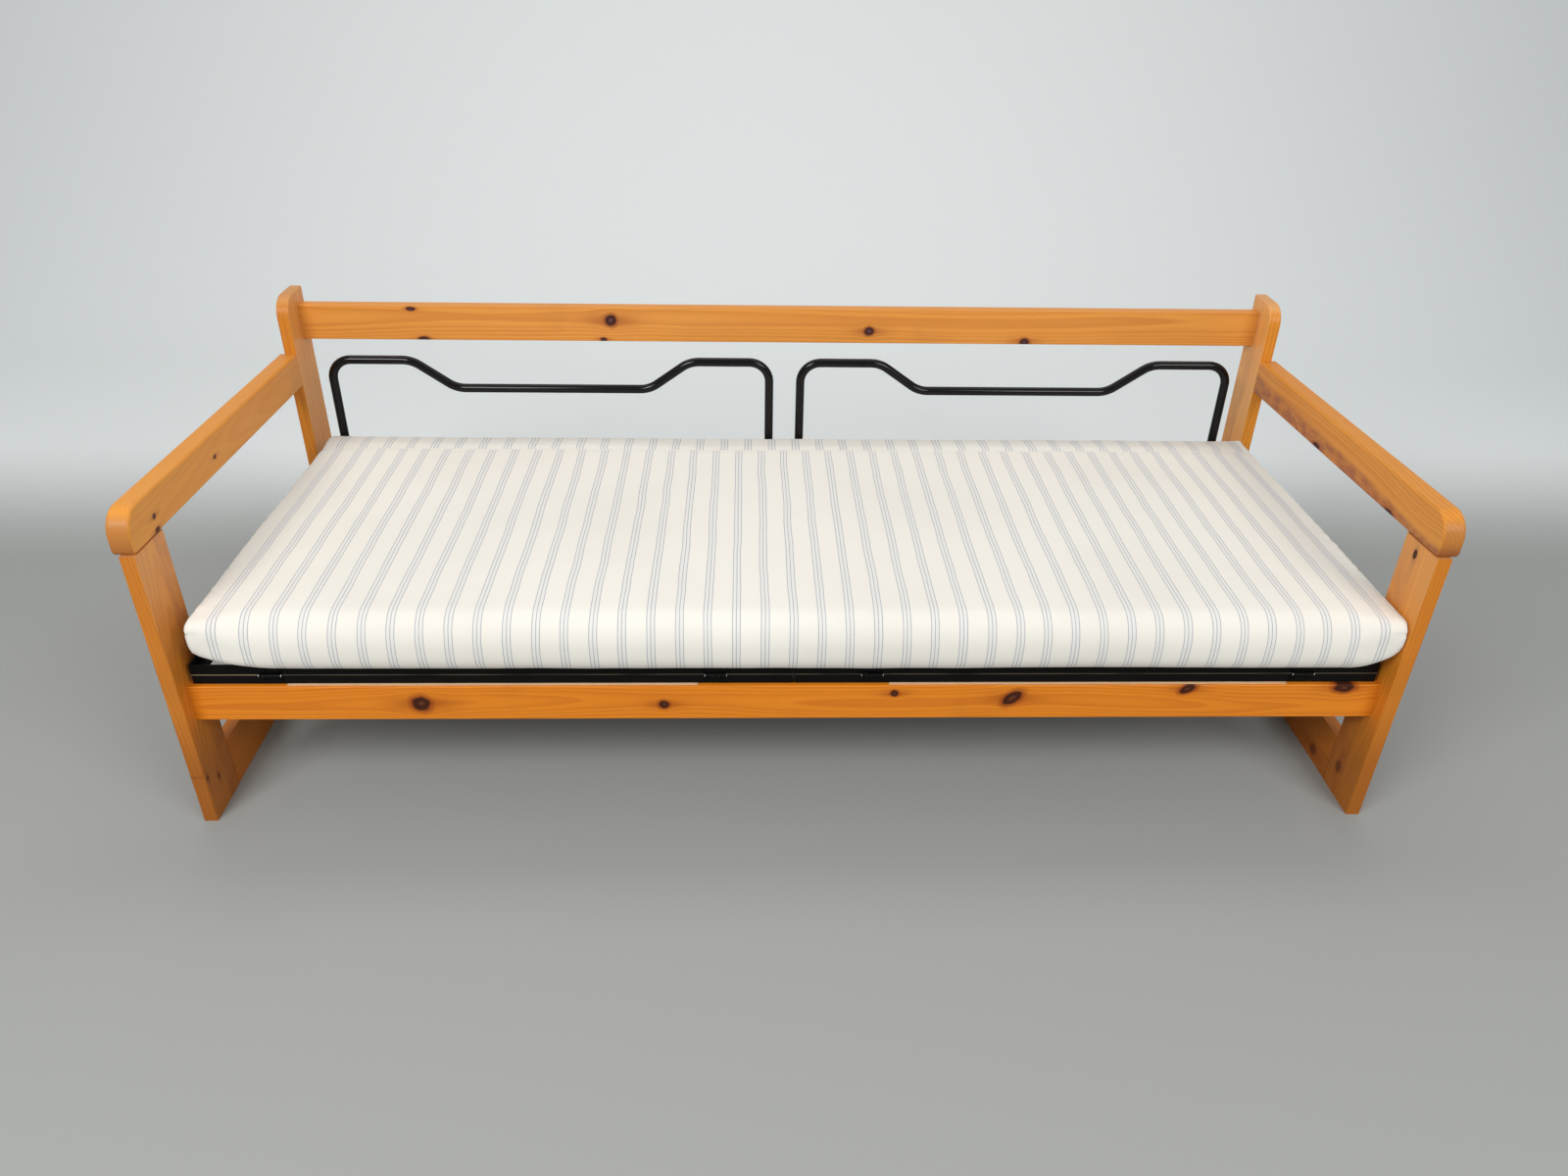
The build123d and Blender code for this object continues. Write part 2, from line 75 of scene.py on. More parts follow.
class Paint:
    # one material with a Principled surface, and short ways to add nodes to it
    def __init__(self, name, **surface):
        self.material = bpy.data.materials.new(name)
        self.material.use_nodes = True
        self.tree = self.material.node_tree
        self.tree.nodes.clear()
        output = self.tree.nodes.new("ShaderNodeOutputMaterial")
        self.surface = self.tree.nodes.new("ShaderNodeBsdfPrincipled")
        self.tree.links.new(self.surface.outputs[0], output.inputs["Surface"])
        for socket, value in surface.items():
            self.put(socket.replace("_", " "), value)

    def feed(self, socket, value):
        if isinstance(value, Value):
            self.tree.links.new(value.socket, socket)
        else:
            socket.default_value = value

    def put(self, socket, value):
        self.feed(self.surface.inputs[socket], value)

    def node(self, kind, settings=None, inputs=None, output=0):
        made = self.tree.nodes.new("ShaderNode" + kind)
        for setting, value in (settings or {}).items():
            setattr(made, setting, value)
        for socket, value in (inputs or {}).items():
            self.feed(made.inputs[socket], value)
        return Value(self, made.outputs[output])

    def math(self, operation, first, second=0.0):
        return self.node("Math", {"operation": operation}, {0: first, 1: second})

    def vector(self, x, y, z):
        return self.node("CombineXYZ", None, {0: x, 1: y, 2: z})

    def point(self):
        # the point's place in the object's own frame
        return self.node("TexCoord", None, None, "Object")

    def place(self):
        # the same as x, y and z
        point = self.point()
        return [self.node("SeparateXYZ", None, {0: point}, axis) for axis in range(3)]

    def facing(self, axis):
        # 1 where the surface faces along an axis, either way, and 0 where it runs with it
        normal = self.node("TexCoord", None, None, "Normal")
        return self.math("ABSOLUTE", self.node("SeparateXYZ", None, {0: normal}, axis))

    def smooth(self, value, low, high):
        # 0 below low, 1 above high, with soft ends
        return self.node(
            "MapRange",
            {"interpolation_type": "SMOOTHSTEP"},
            {"Value": value, "From Min": low, "From Max": high},
        )

    def noise(self, vector, scale=1.0, detail=2.0, roughness=0.5, distortion=0.0):
        inputs = {
            "Vector": vector,
            "Scale": scale,
            "Detail": detail,
            "Roughness": roughness,
            "Distortion": distortion,
        }
        return self.node("TexNoise", None, inputs)

    def mix(self, factor, first, second, blend="MIX"):
        first, second = [c if isinstance(c, Value) else (*c, 1) for c in (first, second)]
        settings = {"data_type": "RGBA", "blend_type": blend}
        return self.node("Mix", settings, {0: factor, 6: first, 7: second}, 2)

    def bump(self, height, distance, strength=1.0):
        inputs = {"Height": height, "Distance": distance, "Strength": strength}
        self.put("Normal", self.node("Bump", None, inputs))


def addObject(name, data):
    made = bpy.data.objects.new(name, data)
    bpy.context.scene.collection.objects.link(made)
    return made


def shadeSmooth(mesh):
    for polygon in mesh.polygons:
        polygon.use_smooth = True


def dress(material, *names):
    # gives CAD nodes their finish
    for name in names:
        for place in range(len(nodes[name].material_slots)):
            nodes[name].material_slots[place].link = "OBJECT"
            nodes[name].material_slots[place].material = material


# where each board's grain runs: along, across, and into the wide face
lying = ("X", "Z", "Y")
standing = ("Z", "Y", "X")
reaching = ("Y", "Z", "X")

pine = {
    "light": (0.720, 0.215, 0.010),
    "dark": (0.470, 0.100, 0.005),
    "heart": (0.340, 0.085, 0.016),
    "pale": (0.800, 0.280, 0.022),
    "knot": (0.042, 0.007, 0.0015),
    "rim": (0.220, 0.030, 0.002),
    "centre": (0.150, 0.050, 0.022),
    "halo": (0.300, 0.050, 0.004),
    "end": (0.330, 0.095, 0.014),
    # painted shade: the brown for the wood near the floor, the lower end faces and the narrow faces
    "foot": (0.230, 0.055, 0.004),
    # painted sheen: a paler colour for light reflected by the varnish
    "paintedSheen": (0.700, 0.360, 0.110),
    "varnish": 0.12,
    "varnishRoughness": 0.2,
    "gloss": 0.22,
    "haloReach": (3.8, 1.1),  # along and across the grain, in knot sizes
    "haloShare": 0.65,
    "rimShare": 0.6,
    "centreShare": 0.5,
    "bendReach": (2.6, 1.7),
    "bend": 0.8,
    "patchShare": 0.8,
    "lateShares": (0.12, 0.45),
    "fibreShare": 0.26,
    "canalShare": 0.30,
    "endShare": 0.55,
    # painted shade on the lower part of the end faces
    "lowEndShadeShare": 0.6,
    "grimeShare": 0.12,
    # painted shade towards the floor and on the narrow faces
    "footHeights": (0.28, 0.08),
    "footShare": 0.58,
    "sideShadeShare": 0.30,
    # painted sheen high on the wide faces
    "sheenHeights": (0.28, 0.50),
    "sheenShare": 0.35,
    "relief": 0.00018,
}

# what a board has unless it says otherwise
usualBoard = {
    "ring": 0.0042,
    "pithDepth": 0.05,
    "pithAcross": 0.0,
    "wander": 0.06,
    "lean": 0.06,
    "knots": (),
    "contrast": 1.0,
    "tint": (1.0, 1.0, 1.0),
}


def fading(paint, du, dv, size, reach):
    # 1 at the middle of a knot, less and less further out
    long, wide = reach
    spread = du * du / (long * size) ** 2 + dv * dv / (wide * size) ** 2
    return paint.math("EXPONENT", spread * -1)


def addKnots(paint, board, along, v):
    # each knot has a rim, a centre and a halo, and bends the grain that runs past it
    warp = paint.noise(paint.vector(along * 60, v * 60, board["seed"]), detail=2.0) - 0.5
    knot, rim, centre, halo = 0.0, 0.0, 0.0, 0.0
    for knotAlong, knotAcross, size, stretch, *tilt in board["knots"]:
        du = along - knotAlong
        dv = v - knotAcross
        turn = math.radians(sum(tilt))
        longer = (du * math.cos(turn) + dv * math.sin(turn)) / (size * stretch)
        shorter = (dv * math.cos(turn) - du * math.sin(turn)) / size
        reach = paint.math("SQRT", longer * longer + shorter * shorter) + warp * 0.6
        spot = paint.smooth(reach, 1.12, 0.78)
        knot = paint.math("MAXIMUM", knot, spot)
        rim = paint.math("MAXIMUM", rim, paint.smooth(reach, 1.75, 1.0))
        knotRings = spot * paint.math("FRACT", reach * 2.6) * 0.25
        centre = centre + paint.smooth(reach, 0.50, 0.15) + knotRings
        halo = halo + fading(paint, du, dv, size, pine["haloReach"])
        v = v - dv * fading(paint, du, dv, size, pine["bendReach"]) * pine["bend"]
    return v, warp, knot, rim, centre, halo


def pineMaterial(name, board):
    # the rings of a tree, cut by the board wherever its faces happen to lie
    board = {**usualBoard, **board}
    paint = Paint(name, Coat_Roughness=pine["varnishRoughness"], Specular_IOR_Level=pine["gloss"])
    place = dict(zip("XYZ", paint.place()))
    along, across, deep = [place[axis] for axis in board["axes"]]
    middle, depthMiddle = board["middle"]
    seed = board["seed"]
    wander = paint.noise(paint.vector(along * 1.7, seed, 0.0), detail=2.0) - 0.5
    lean = paint.noise(paint.vector(along * 1.1, seed + 7.3, 0.0), detail=1.0) - 0.5
    v, warp, knot, rim, centre, halo = addKnots(paint, board, along, across - middle)
    w = deep - depthMiddle

    def grain(alongScale, acrossScale, shift=0.0, **kind):
        # noise that is stretched along the board
        vector = paint.vector(along * alongScale, v * acrossScale, w * acrossScale + shift)
        return paint.noise(vector, **kind)

    sideways = v - board["pithAcross"] + wander * board["wander"]
    inward = w + board["pithDepth"] + lean * board["lean"]
    radius = paint.math("SQRT", sideways * sideways + inward * inward)
    uneven = paint.noise(paint.vector(radius * 90, along * 0.8, seed), detail=1.0) - 0.5
    ring = paint.math("FRACT", radius / board["ring"] + uneven * 1.6)
    late = paint.smooth(ring, 0.15, 0.88) * paint.smooth(ring, 1.0, 0.9)
    fibre = grain(14, 900, detail=3.0, roughness=0.6)
    streak = grain(2.2, 70, seed, detail=2.0)
    patch = grain(1.4, 9, seed, detail=1.0)
    canal = grain(28, 1300, detail=1.0)
    grime = grain(5, 5, detail=3.0)

    colour = paint.mix(patch * pine["patchShare"], pine["light"], pine["pale"])
    if "heart" in board:
        start, end, strength = board["heart"]
        inside = paint.smooth(v + wander * 0.05 + warp * 0.002, start, end)
        mottled = paint.smooth(grain(30, 60, detail=3.0), 0.35, 0.65)
        colour = paint.mix(inside * strength * (0.45 + mottled * 0.6), colour, pine["heart"])
    least, streaked = pine["lateShares"]
    colour = paint.mix(late * (least + streak * streaked) * board["contrast"], colour, pine["dark"])
    colour = paint.mix(paint.smooth(fibre, 0.45, 0.8) * pine["fibreShare"], colour, pine["dark"])
    colour = paint.mix(paint.smooth(canal, 0.68, 0.76) * pine["canalShare"], colour, pine["heart"])
    colour = paint.mix(halo * pine["haloShare"], colour, pine["halo"])
    colour = paint.mix(rim * pine["rimShare"], colour, pine["rim"])
    colour = paint.mix(knot, colour, pine["knot"])
    colour = paint.mix(centre * pine["centreShare"], colour, pine["centre"])
    endGrain = paint.smooth(paint.facing(board["axes"][0]), 0.45, 0.95)
    colour = paint.mix(endGrain * pine["endShare"], colour, pine["end"])
    # painted shade on the lower part of the end faces
    if board["axes"] == reaching:
        lowEndShade = endGrain * paint.smooth(v, 0.01, -0.03)
        colour = paint.mix(lowEndShade * pine["lowEndShadeShare"], colour, pine["foot"])
    colour = paint.mix(paint.smooth(grime, 0.55, 0.8) * pine["grimeShare"], colour, pine["knot"])
    # painted shade, darker towards the floor
    if board["axes"] != lying:
        floorShade = paint.smooth(place["Z"], *pine["footHeights"])
        colour = paint.mix(floorShade * pine["footShare"], colour, pine["foot"])
    if board["axes"] == standing:
        # painted shade on the narrow faces
        shadedSide = paint.smooth(paint.facing("Y"), 0.55, 0.9)
        colour = paint.mix(shadedSide * pine["sideShadeShare"], colour, pine["foot"])
        # painted sheen: the wide faces paler higher up, for light reflected by the varnish
        paintedSheen = (1 - shadedSide) * paint.smooth(place["Z"], *pine["sheenHeights"]) * (1 - knot)
        colour = paint.mix(paintedSheen * pine["sheenShare"], colour, pine["paintedSheen"])
    paint.put("Base Color", paint.mix(1.0, colour, board["tint"], "MULTIPLY"))
    paint.put("Coat Weight", pine["varnish"] * (1 - knot))
    paint.put("Roughness", 0.38 + fibre * 0.16 + grime * 0.08 + knot * 0.15)
    paint.bump(fibre * 0.6 + late * 0.5 - knot * 0.4, pine["relief"], 0.6)
    return paint.material


def middleOf(name, axes):
    # the middle of a board's box, across its grain and into its wide face
    low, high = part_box(name)
    centre = (low + high) / 2
    return [centre["XYZ".index(axis)] for axis in axes[1:]]


# a knot is its place along and across, its size, its stretch and its tilt in degrees
# heart is where the darker wood starts and ends across the board, and how strong it is
boards = {
    "front_rail": {
        "axes": lying,
        "seed": 3.1,
        "ring": 0.0046,
        "pithDepth": 0.045,
        "lean": 0.05,
        "knots": [
            (-0.622, -0.001, 0.0150, 1.0),
            (-0.217, -0.004, 0.0080, 1.1),
            (0.170, 0.018, 0.0065, 1.0),
            (0.371, 0.008, 0.0112, 1.7, 42),
            (0.668, 0.0265, 0.0085, 1.75, 28),
            (0.937, 0.029, 0.0105, 1.6),
        ],
        "tint": (1.0, 0.97, 0.82),
    },
    "rear_seat_rail": {
        "axes": lying,
        "seed": 9.4,
        "knots": [(-0.3, 0.01, 0.009, 1.2), (0.52, -0.012, 0.011, 1.0)],
    },
    "back_rail": {
        "axes": lying,
        "seed": 14.2,
        "ring": 0.0052,
        "pithDepth": 0.05,
        "pithAcross": 0.012,
        "wander": 0.03,
        "lean": 0.02,
        "knots": [
            (-0.362, 0.0085, 0.0125, 0.85),
            (0.178, -0.0105, 0.0085, 1.2),
            (0.509, -0.0315, 0.0085, 1.1),
            (-0.379, -0.0315, 0.0045, 1.5),
            (-0.752, -0.0345, 0.0055, 2.0),
            (-0.771, 0.0295, 0.0040, 2.4),
        ],
        "tint": (0.97, 1.22, 3.4),
    },
    "left_armrest": {
        "axes": reaching,
        "seed": 21.7,
        "ring": 0.005,
        "knots": [
            (-0.342, 0.004, 0.0042, 1.0),
            (-0.343, -0.019, 0.0045, 1.5),
            (-0.108, -0.003, 0.0036, 1.2),
        ],
        "contrast": 0.4,
        "tint": (0.93, 1.15, 2.6),
    },
    "right_armrest": {
        "axes": reaching,
        "seed": 28.3,
        "ring": 0.006,
        "knots": [
            (-0.362, -0.043, 0.0050, 1.3),
            (-0.264, -0.026, 0.0075, 2.2),
            (0.02, -0.03, 0.006, 2.0),
        ],
        "heart": (0.004, -0.010, 0.9),
        "tint": (0.94, 1.15, 2.4),
    },
    "left_front_leg": {
        "axes": standing,
        "seed": 35.9,
        "knots": [
            (0.090, -0.040, 0.0042, 1.0),
            (0.066, -0.006, 0.0042, 1.4),
            (0.097, -0.0485, 0.0011, 0.6),
        ],
        "heart": (0.010, 0.013, 0.55),
        "tint": (0.98, 1.06, 1.6),
    },
    "right_front_leg": {
        "axes": standing,
        "seed": 42.6,
        "knots": [(0.056, 0.0175, 0.0075, 1.4), (0.505, 0.010, 0.0052, 1.7)],
        "heart": (0.004, 0.008, 0.5),
        "tint": (1.05, 1.15, 1.5),
    },
    "left_rear_post": {
        "axes": standing,
        "seed": 49.2,
        "ring": 0.007,
        "pithDepth": 0.03,
        "knots": [(0.16, 0.02, 0.006, 1.4)],
        "tint": (1.02, 1.12, 1.5),
    },
    "right_rear_post": {
        "axes": standing,
        "seed": 56.5,
        "ring": 0.006,
        "knots": [(0.34, 0.01, 0.006, 1.2)],
        "heart": (0.0, 0.006, 0.4),
        "tint": (1.2, 1.45, 2.2),
    },
    "left_floor_runner": {"axes": reaching, "seed": 63.8, "knots": [(-0.1, 0.01, 0.008, 1.2)]},
    "right_floor_runner": {
        "axes": reaching,
        "seed": 70.4,
        "knots": [(-0.270, -0.0265, 0.0105, 1.0), (0.05, 0.02, 0.009, 1.3)],
        "heart": (0.01, -0.004, 0.4),
    },
}
dowelWood = {"axes": standing, "seed": 80.0, "middle": (0.0, 0.0), "ring": 0.003, "tint": (0.9, 1.1, 1.6)}

for name, board in boards.items():
    board["middle"] = middleOf(name, board["axes"])
    dress(pineMaterial("pine_" + name, board), name)
dress(pineMaterial("dowel_beech", dowelWood), "side_frame_dowels", "rail_dowels")
print("pine boards:", len(boards))


steel = {
    "black": (0.0016, 0.0018, 0.0017),
    "dusty": (0.0050, 0.0050, 0.0048),
    # pale colour for the dust specks and for the painted highlight line, with dust, under the upper frame
    "dustAndHighlight": (0.240, 0.185, 0.120),
    "rubbed": (0.20, 0.19, 0.18),
    "zinc": (0.62, 0.61, 0.58),
    "wire": (0.56, 0.56, 0.55),
    "rust": (0.16, 0.065, 0.022),
    "gloss": 0.09,
    # where the painted highlight line lies, how soft its edges are, and where it grows stronger towards the
    # left end
    "dustHighlightHeights": (0.2856, 0.2879),
    "dustHighlightEdge": 0.0004,
    "dustHighlightCorner": (-0.835, -0.865),
}


def orangePeel(paint, point):
    # the fine skin of sprayed paint
    paint.bump(paint.noise(point, scale=420.0, detail=1.0), 0.00004, 0.5)


def blackPaint(name, roughness, coat, wear):
    # black paint with fine specks of dust, and bare steel in worn spots
    paint = Paint(name, Coat_Weight=coat, Coat_Roughness=0.04, Specular_IOR_Level=steel["gloss"])
    point = paint.point()
    cloud = paint.noise(point, scale=11.0, detail=3.0)
    speck = paint.smooth(paint.noise(point, scale=900.0, detail=1.0), 0.72, 0.8)
    worn = paint.noise(point, scale=70.0, detail=4.0, roughness=0.7)
    chip = paint.smooth(worn, 0.74 - wear, 0.78 - wear)
    colour = paint.mix(cloud * 0.6, steel["black"], steel["dusty"])
    colour = paint.mix(speck * 0.15, colour, steel["dustAndHighlight"])
    colour = paint.mix(chip, colour, steel["rubbed"])
    paint.put("Base Color", colour)
    paint.put("Metallic", chip * 0.8)
    paint.put("Roughness", roughness + cloud * 0.14 + chip * 0.15)
    orangePeel(paint, point)
    return paint.material


def dustAndHighlightBlack(name):
    # the same paint with a pale line just under the upper frame: a painted highlight on the lower frame's
    # top edge, together with settled dust
    paint = Paint(name, Specular_IOR_Level=steel["gloss"])
    point = paint.point()
    x, _, z = paint.place()
    low, high = steel["dustHighlightHeights"]
    edge = steel["dustHighlightEdge"]
    cloud = paint.noise(point, scale=11.0, detail=3.0)
    patchy = paint.smooth(paint.noise(paint.vector(x * 6, 0.0, 5.0), detail=3.0), 0.30, 0.60)
    patchy = patchy * 0.35 + paint.smooth(x, *steel["dustHighlightCorner"]) * 0.65
    # painted highlight with dust along the lower frame's top edge
    line = paint.smooth(z, low, low + edge) * paint.smooth(z, high, high - edge) * patchy
    colour = paint.mix(cloud, steel["black"], steel["dusty"])
    paint.put("Base Color", paint.mix(line, colour, steel["dustAndHighlight"]))
    paint.put("Roughness", 0.42 + cloud * 0.14 + line * 0.4)
    orangePeel(paint, point)
    return paint.material


def bareSteel(name, tone, roughness, rust):
    # zinc or wire, with clouded patches and a little brown in them
    paint = Paint(name, Metallic=1.0)
    point = paint.point()
    cloud = paint.noise(point, scale=26.0, detail=4.0)
    grain = paint.noise(point, scale=650.0, detail=2.0)
    brown = paint.smooth(paint.noise(point, scale=45.0, detail=5.0, roughness=0.7), 0.6, 0.75) * rust
    colour = paint.mix(cloud, [c * 0.75 for c in tone], tone)
    paint.put("Base Color", paint.mix(brown, colour, steel["rust"]))
    paint.put("Roughness", roughness + cloud * 0.18 + brown * 0.3)
    paint.bump(grain, 0.00005, 0.5)
    return paint.material


satinBlack = blackPaint("satin_black_paint", 0.42, 0.0, 0.02)
glossBlack = blackPaint("gloss_black_enamel", 0.07, 0.35, 0.0)
hingeBlack = blackPaint("rubbed_black_paint", 0.40, 0.0, 0.10)
zincPlate = bareSteel("zinc_plate", steel["zinc"], 0.30, 0.25)
netWire = bareSteel("galvanised_wire", steel["wire"], 0.34, 0.35)
dustAndHighlightPaint = dustAndHighlightBlack("dust_and_highlight_black_paint")

for side in sides:
    dress(glossBlack, side + "_hoop")
    dress(satinBlack, side + "_hoop_sockets")
    dress(zincPlate, side + "_hoop_bolts", side + "_hoop_nuts", side + "_hinge_pins")
    for level in levels:
        unit = f"{side}_{level}_"
        # the lower long angles carry the painted highlight line
        dress(dustAndHighlightPaint if level == "lower" else satinBlack, unit + "long_angles")
        dress(satinBlack, unit + "end_angles", unit + "tie_bar", unit + "hinge_rivets")
        dress(hingeBlack, unit + "hinge_leaves")
dress(satinBlack, "rail_brackets")
dress(zincPlate, "rail_bolts", "barrel_nuts", "bracket_screws")
print("steel finishes on")


class Grower:
    # one geometry node tree with named inputs, given by their kind
    def __init__(self, name, **inputs):
        self.tree = bpy.data.node_groups.new(name, "GeometryNodeTree")
        self.sockets = {}
        for kind, labels in inputs.items():
            for label in labels:
                socket = self.tree.interface.new_socket(
                    label, in_out="INPUT", socket_type="NodeSocket" + kind
                )
                self.sockets[label] = socket.identifier
        self.tree.interface.new_socket("Geometry", in_out="OUTPUT", socket_type="NodeSocketGeometry")
        self.source = self.tree.nodes.new("NodeGroupInput")
        self.sink = self.tree.nodes.new("NodeGroupOutput")

    def given(self, label):
        return self.source.outputs[label]

    def node(self, kind, settings=None, inputs=None, output=0):
        made = self.tree.nodes.new(kind)
        for setting, value in (settings or {}).items():
            setattr(made, setting, value)
        for socket, value in (inputs or {}).items():
            if isinstance(value, bpy.types.NodeSocket):
                self.tree.links.new(value, made.inputs[socket])
            else:
                made.inputs[socket].default_value = value
        return made.outputs[output]

    def math(self, operation, first, second=0.0):
        return self.node("ShaderNodeMath", {"operation": operation}, {0: first, 1: second})

    def vector(self, x=0.0, y=0.0, z=0.0):
        return self.node("ShaderNodeCombineXYZ", None, {0: x, 1: y, 2: z})

    def circle(self, radius, steps):
        inputs = {"Resolution": steps, "Radius": radius}
        return self.node("GeometryNodeCurvePrimitiveCircle", None, inputs)

    def coil(self, turns, radius, length, steps):
        inputs = {
            "Resolution": steps,
            "Rotations": turns,
            "Start Radius": radius,
            "End Radius": radius,
            "Height": length,
        }
        return self.node("GeometryNodeCurveSpiral", None, inputs)

    def wire(self, curve, section, caps=False):
        # a solid wire with this section along a curve
        inputs = {"Curve": curve, "Profile Curve": section, "Fill Caps": caps}
        return self.node("GeometryNodeCurveToMesh", None, inputs)

    def move(self, geometry, **change):
        return self.node("GeometryNodeTransform", None, {"Geometry": geometry, **change})

    def join(self, *parts):
        joined = self.tree.nodes.new("GeometryNodeJoinGeometry")
        for part in parts:
            self.tree.links.new(part, joined.inputs[0])
        return joined.outputs[0]

    def finish(self, geometry, material):
        real = self.node("GeometryNodeRealizeInstances", None, {0: geometry})
        done = self.node("GeometryNodeSetMaterial", None, {"Geometry": real, "Material": material})
        self.tree.links.new(done, self.sink.inputs[0])


def grow(name, grower, values):
    # runs a tree once and returns its result as a plain mesh object
    carrier = addObject(name, bpy.data.meshes.new(name))
    modifier = carrier.modifiers.new("grow", "NODES")
    modifier.node_group = grower.tree
    for label, value in values.items():
        modifier[grower.sockets[label]] = value
    graph = bpy.context.evaluated_depsgraph_get()
    mesh = bpy.data.meshes.new_from_object(carrier.evaluated_get(graph))
    carrier.modifiers.clear()
    carrier.data = mesh
    shadeSmooth(mesh)
    return carrier


# wire nets: rows of flattened coils that hook into each other
netWork = {
    "wireRadius": 0.0009,
    "cell": 0.046,
    "rowGap": 0.0215,
    "rowShare": 0.53,  # half a row's width, in row gaps
    "thickness": 0.0011,
    "edgeWire": 0.0014,
    "cornerRadius": 0.012,
    "cornerSteps": 5,
    "stepsPerCell": 8,
    "sidesPerWire": 5,
    "sidesPerEdge": 8,
}


def netGrower():
    floats = ("Length", "Depth", "Half thickness", "Row width", "Wire radius", "Edge radius")
    g = Grower("linked_wire_net", Float=floats, Int=("Cells", "Rows"))
    length, depth, rowWidth = [g.given(label) for label in ("Length", "Depth", "Row width")]
    # a coil of radius one along Z is turned to lie along X and pressed flat
    coil = g.coil(g.given("Cells"), 1.0, length, netWork["stepsPerCell"])
    turned = g.move(coil, Rotation=(0.0, math.pi / 2, 0.0))
    flat = g.move(
        turned,
        Translation=g.vector(g.math("MULTIPLY", length, -0.5)),
        Scale=g.vector(1.0, rowWidth, g.given("Half thickness")),
    )
    row = g.wire(flat, g.circle(g.given("Wire radius"), netWork["sidesPerWire"]), True)
    step = g.math("DIVIDE", depth, g.math("ADD", g.given("Rows"), -1.0))
    places = {
        "Count": g.given("Rows"),
        "Start Location": g.vector(0.0, g.math("MULTIPLY", depth, -0.5), 0.0),
        "Offset": g.vector(0.0, step, 0.0),
    }
    rows = g.node("GeometryNodeMeshLine", None, places)
    net = g.node("GeometryNodeInstanceOnPoints", None, {"Points": rows, "Instance": row})
    border = {"Width": length, "Height": g.math("ADD", depth, g.math("MULTIPLY", rowWidth, 2.0))}
    border = g.node("GeometryNodeCurvePrimitiveQuadrilateral", None, border)
    corners = {"Curve": border, "Radius": netWork["cornerRadius"], "Count": netWork["cornerSteps"]}
    rounded = g.node("GeometryNodeFilletCurve", {"mode": "POLY"}, corners)
    edge = g.wire(rounded, g.circle(g.given("Edge radius"), netWork["sidesPerEdge"]))
    g.finish(g.join(net, edge), netWire)
    return g


springWork = {
    "coilLength": 0.0205,
    "turns": 8.0,
    "radius": 0.0029,
    "wireRadius": 0.00055,
    "hook": 0.0048,
    "stepsPerTurn": 9,
    "sidesPerWire": 5,
    "stepsPerHook": 14,
}


def springGrower():
    # a coil along Z with a round eye at each end
    g = Grower("coil_spring", Float=("Length", "Turns", "Radius", "Wire radius", "Hook"))
    length, hook = g.given("Length"), g.given("Hook")
    section = g.circle(g.given("Wire radius"), springWork["sidesPerWire"])
    coil = g.coil(g.given("Turns"), g.given("Radius"), length, springWork["stepsPerTurn"])
    eye = g.circle(g.math("MULTIPLY", hook, 0.5), springWork["stepsPerHook"])
    below = g.vector(0.0, 0.0, g.math("MULTIPLY", hook, -0.5))
    near = g.move(g.wire(eye, section), Translation=below, Rotation=(math.pi / 2, 0.0, 0.0))
    far = g.move(near, Translation=g.vector(0.0, 0.0, g.math("ADD", length, hook)))
    g.finish(g.join(g.wire(coil, section, True), near, far), netWire)
    return g


netTree = netGrower()
springPattern = grow(
    "spring_pattern",
    springGrower(),
    {
        "Length": springWork["coilLength"],
        "Turns": springWork["turns"],
        "Radius": springWork["radius"] - springWork["wireRadius"],
        "Wire radius": springWork["wireRadius"],
        "Hook": springWork["hook"],
    },
)


def solidsOf(name):
    # the separate solids of a CAD node, as (lowest, highest) corners
    mesh = nodes[name].data
    parent = {}

    def root(key):
        while parent[key] != key:
            parent[key] = parent[parent[key]]
            key = parent[key]
        return key

    keys = [tuple(round(c, 5) for c in vertex.co) for vertex in mesh.vertices]
    for key in keys:
        parent.setdefault(key, key)
    for polygon in mesh.polygons:
        first = root(keys[polygon.vertices[0]])
        for corner in polygon.vertices[1:]:
            parent[root(keys[corner])] = first
    groups = {}
    for key in parent:
        groups.setdefault(root(key), []).append(key)
    return [
        (Vector(map(min, zip(*points))), Vector(map(max, zip(*points))))
        for points in groups.values()
    ]


def joinMeshes(name, mesh, places):
    # one mesh from many copies of a pattern
    verts, faces = [], []
    pattern = [vertex.co.copy() for vertex in mesh.vertices]
    corners = [tuple(polygon.vertices) for polygon in mesh.polygons]
    for place in places:
        start = len(verts)
        verts.extend(place @ point for point in pattern)
        faces.extend(tuple(start + corner for corner in face) for face in corners)
    joined = bpy.data.meshes.new(name)
    joined.from_pydata(verts, [], faces)
    shadeSmooth(joined)
    joined.materials.append(mesh.materials[0])
    return addObject(name, joined)


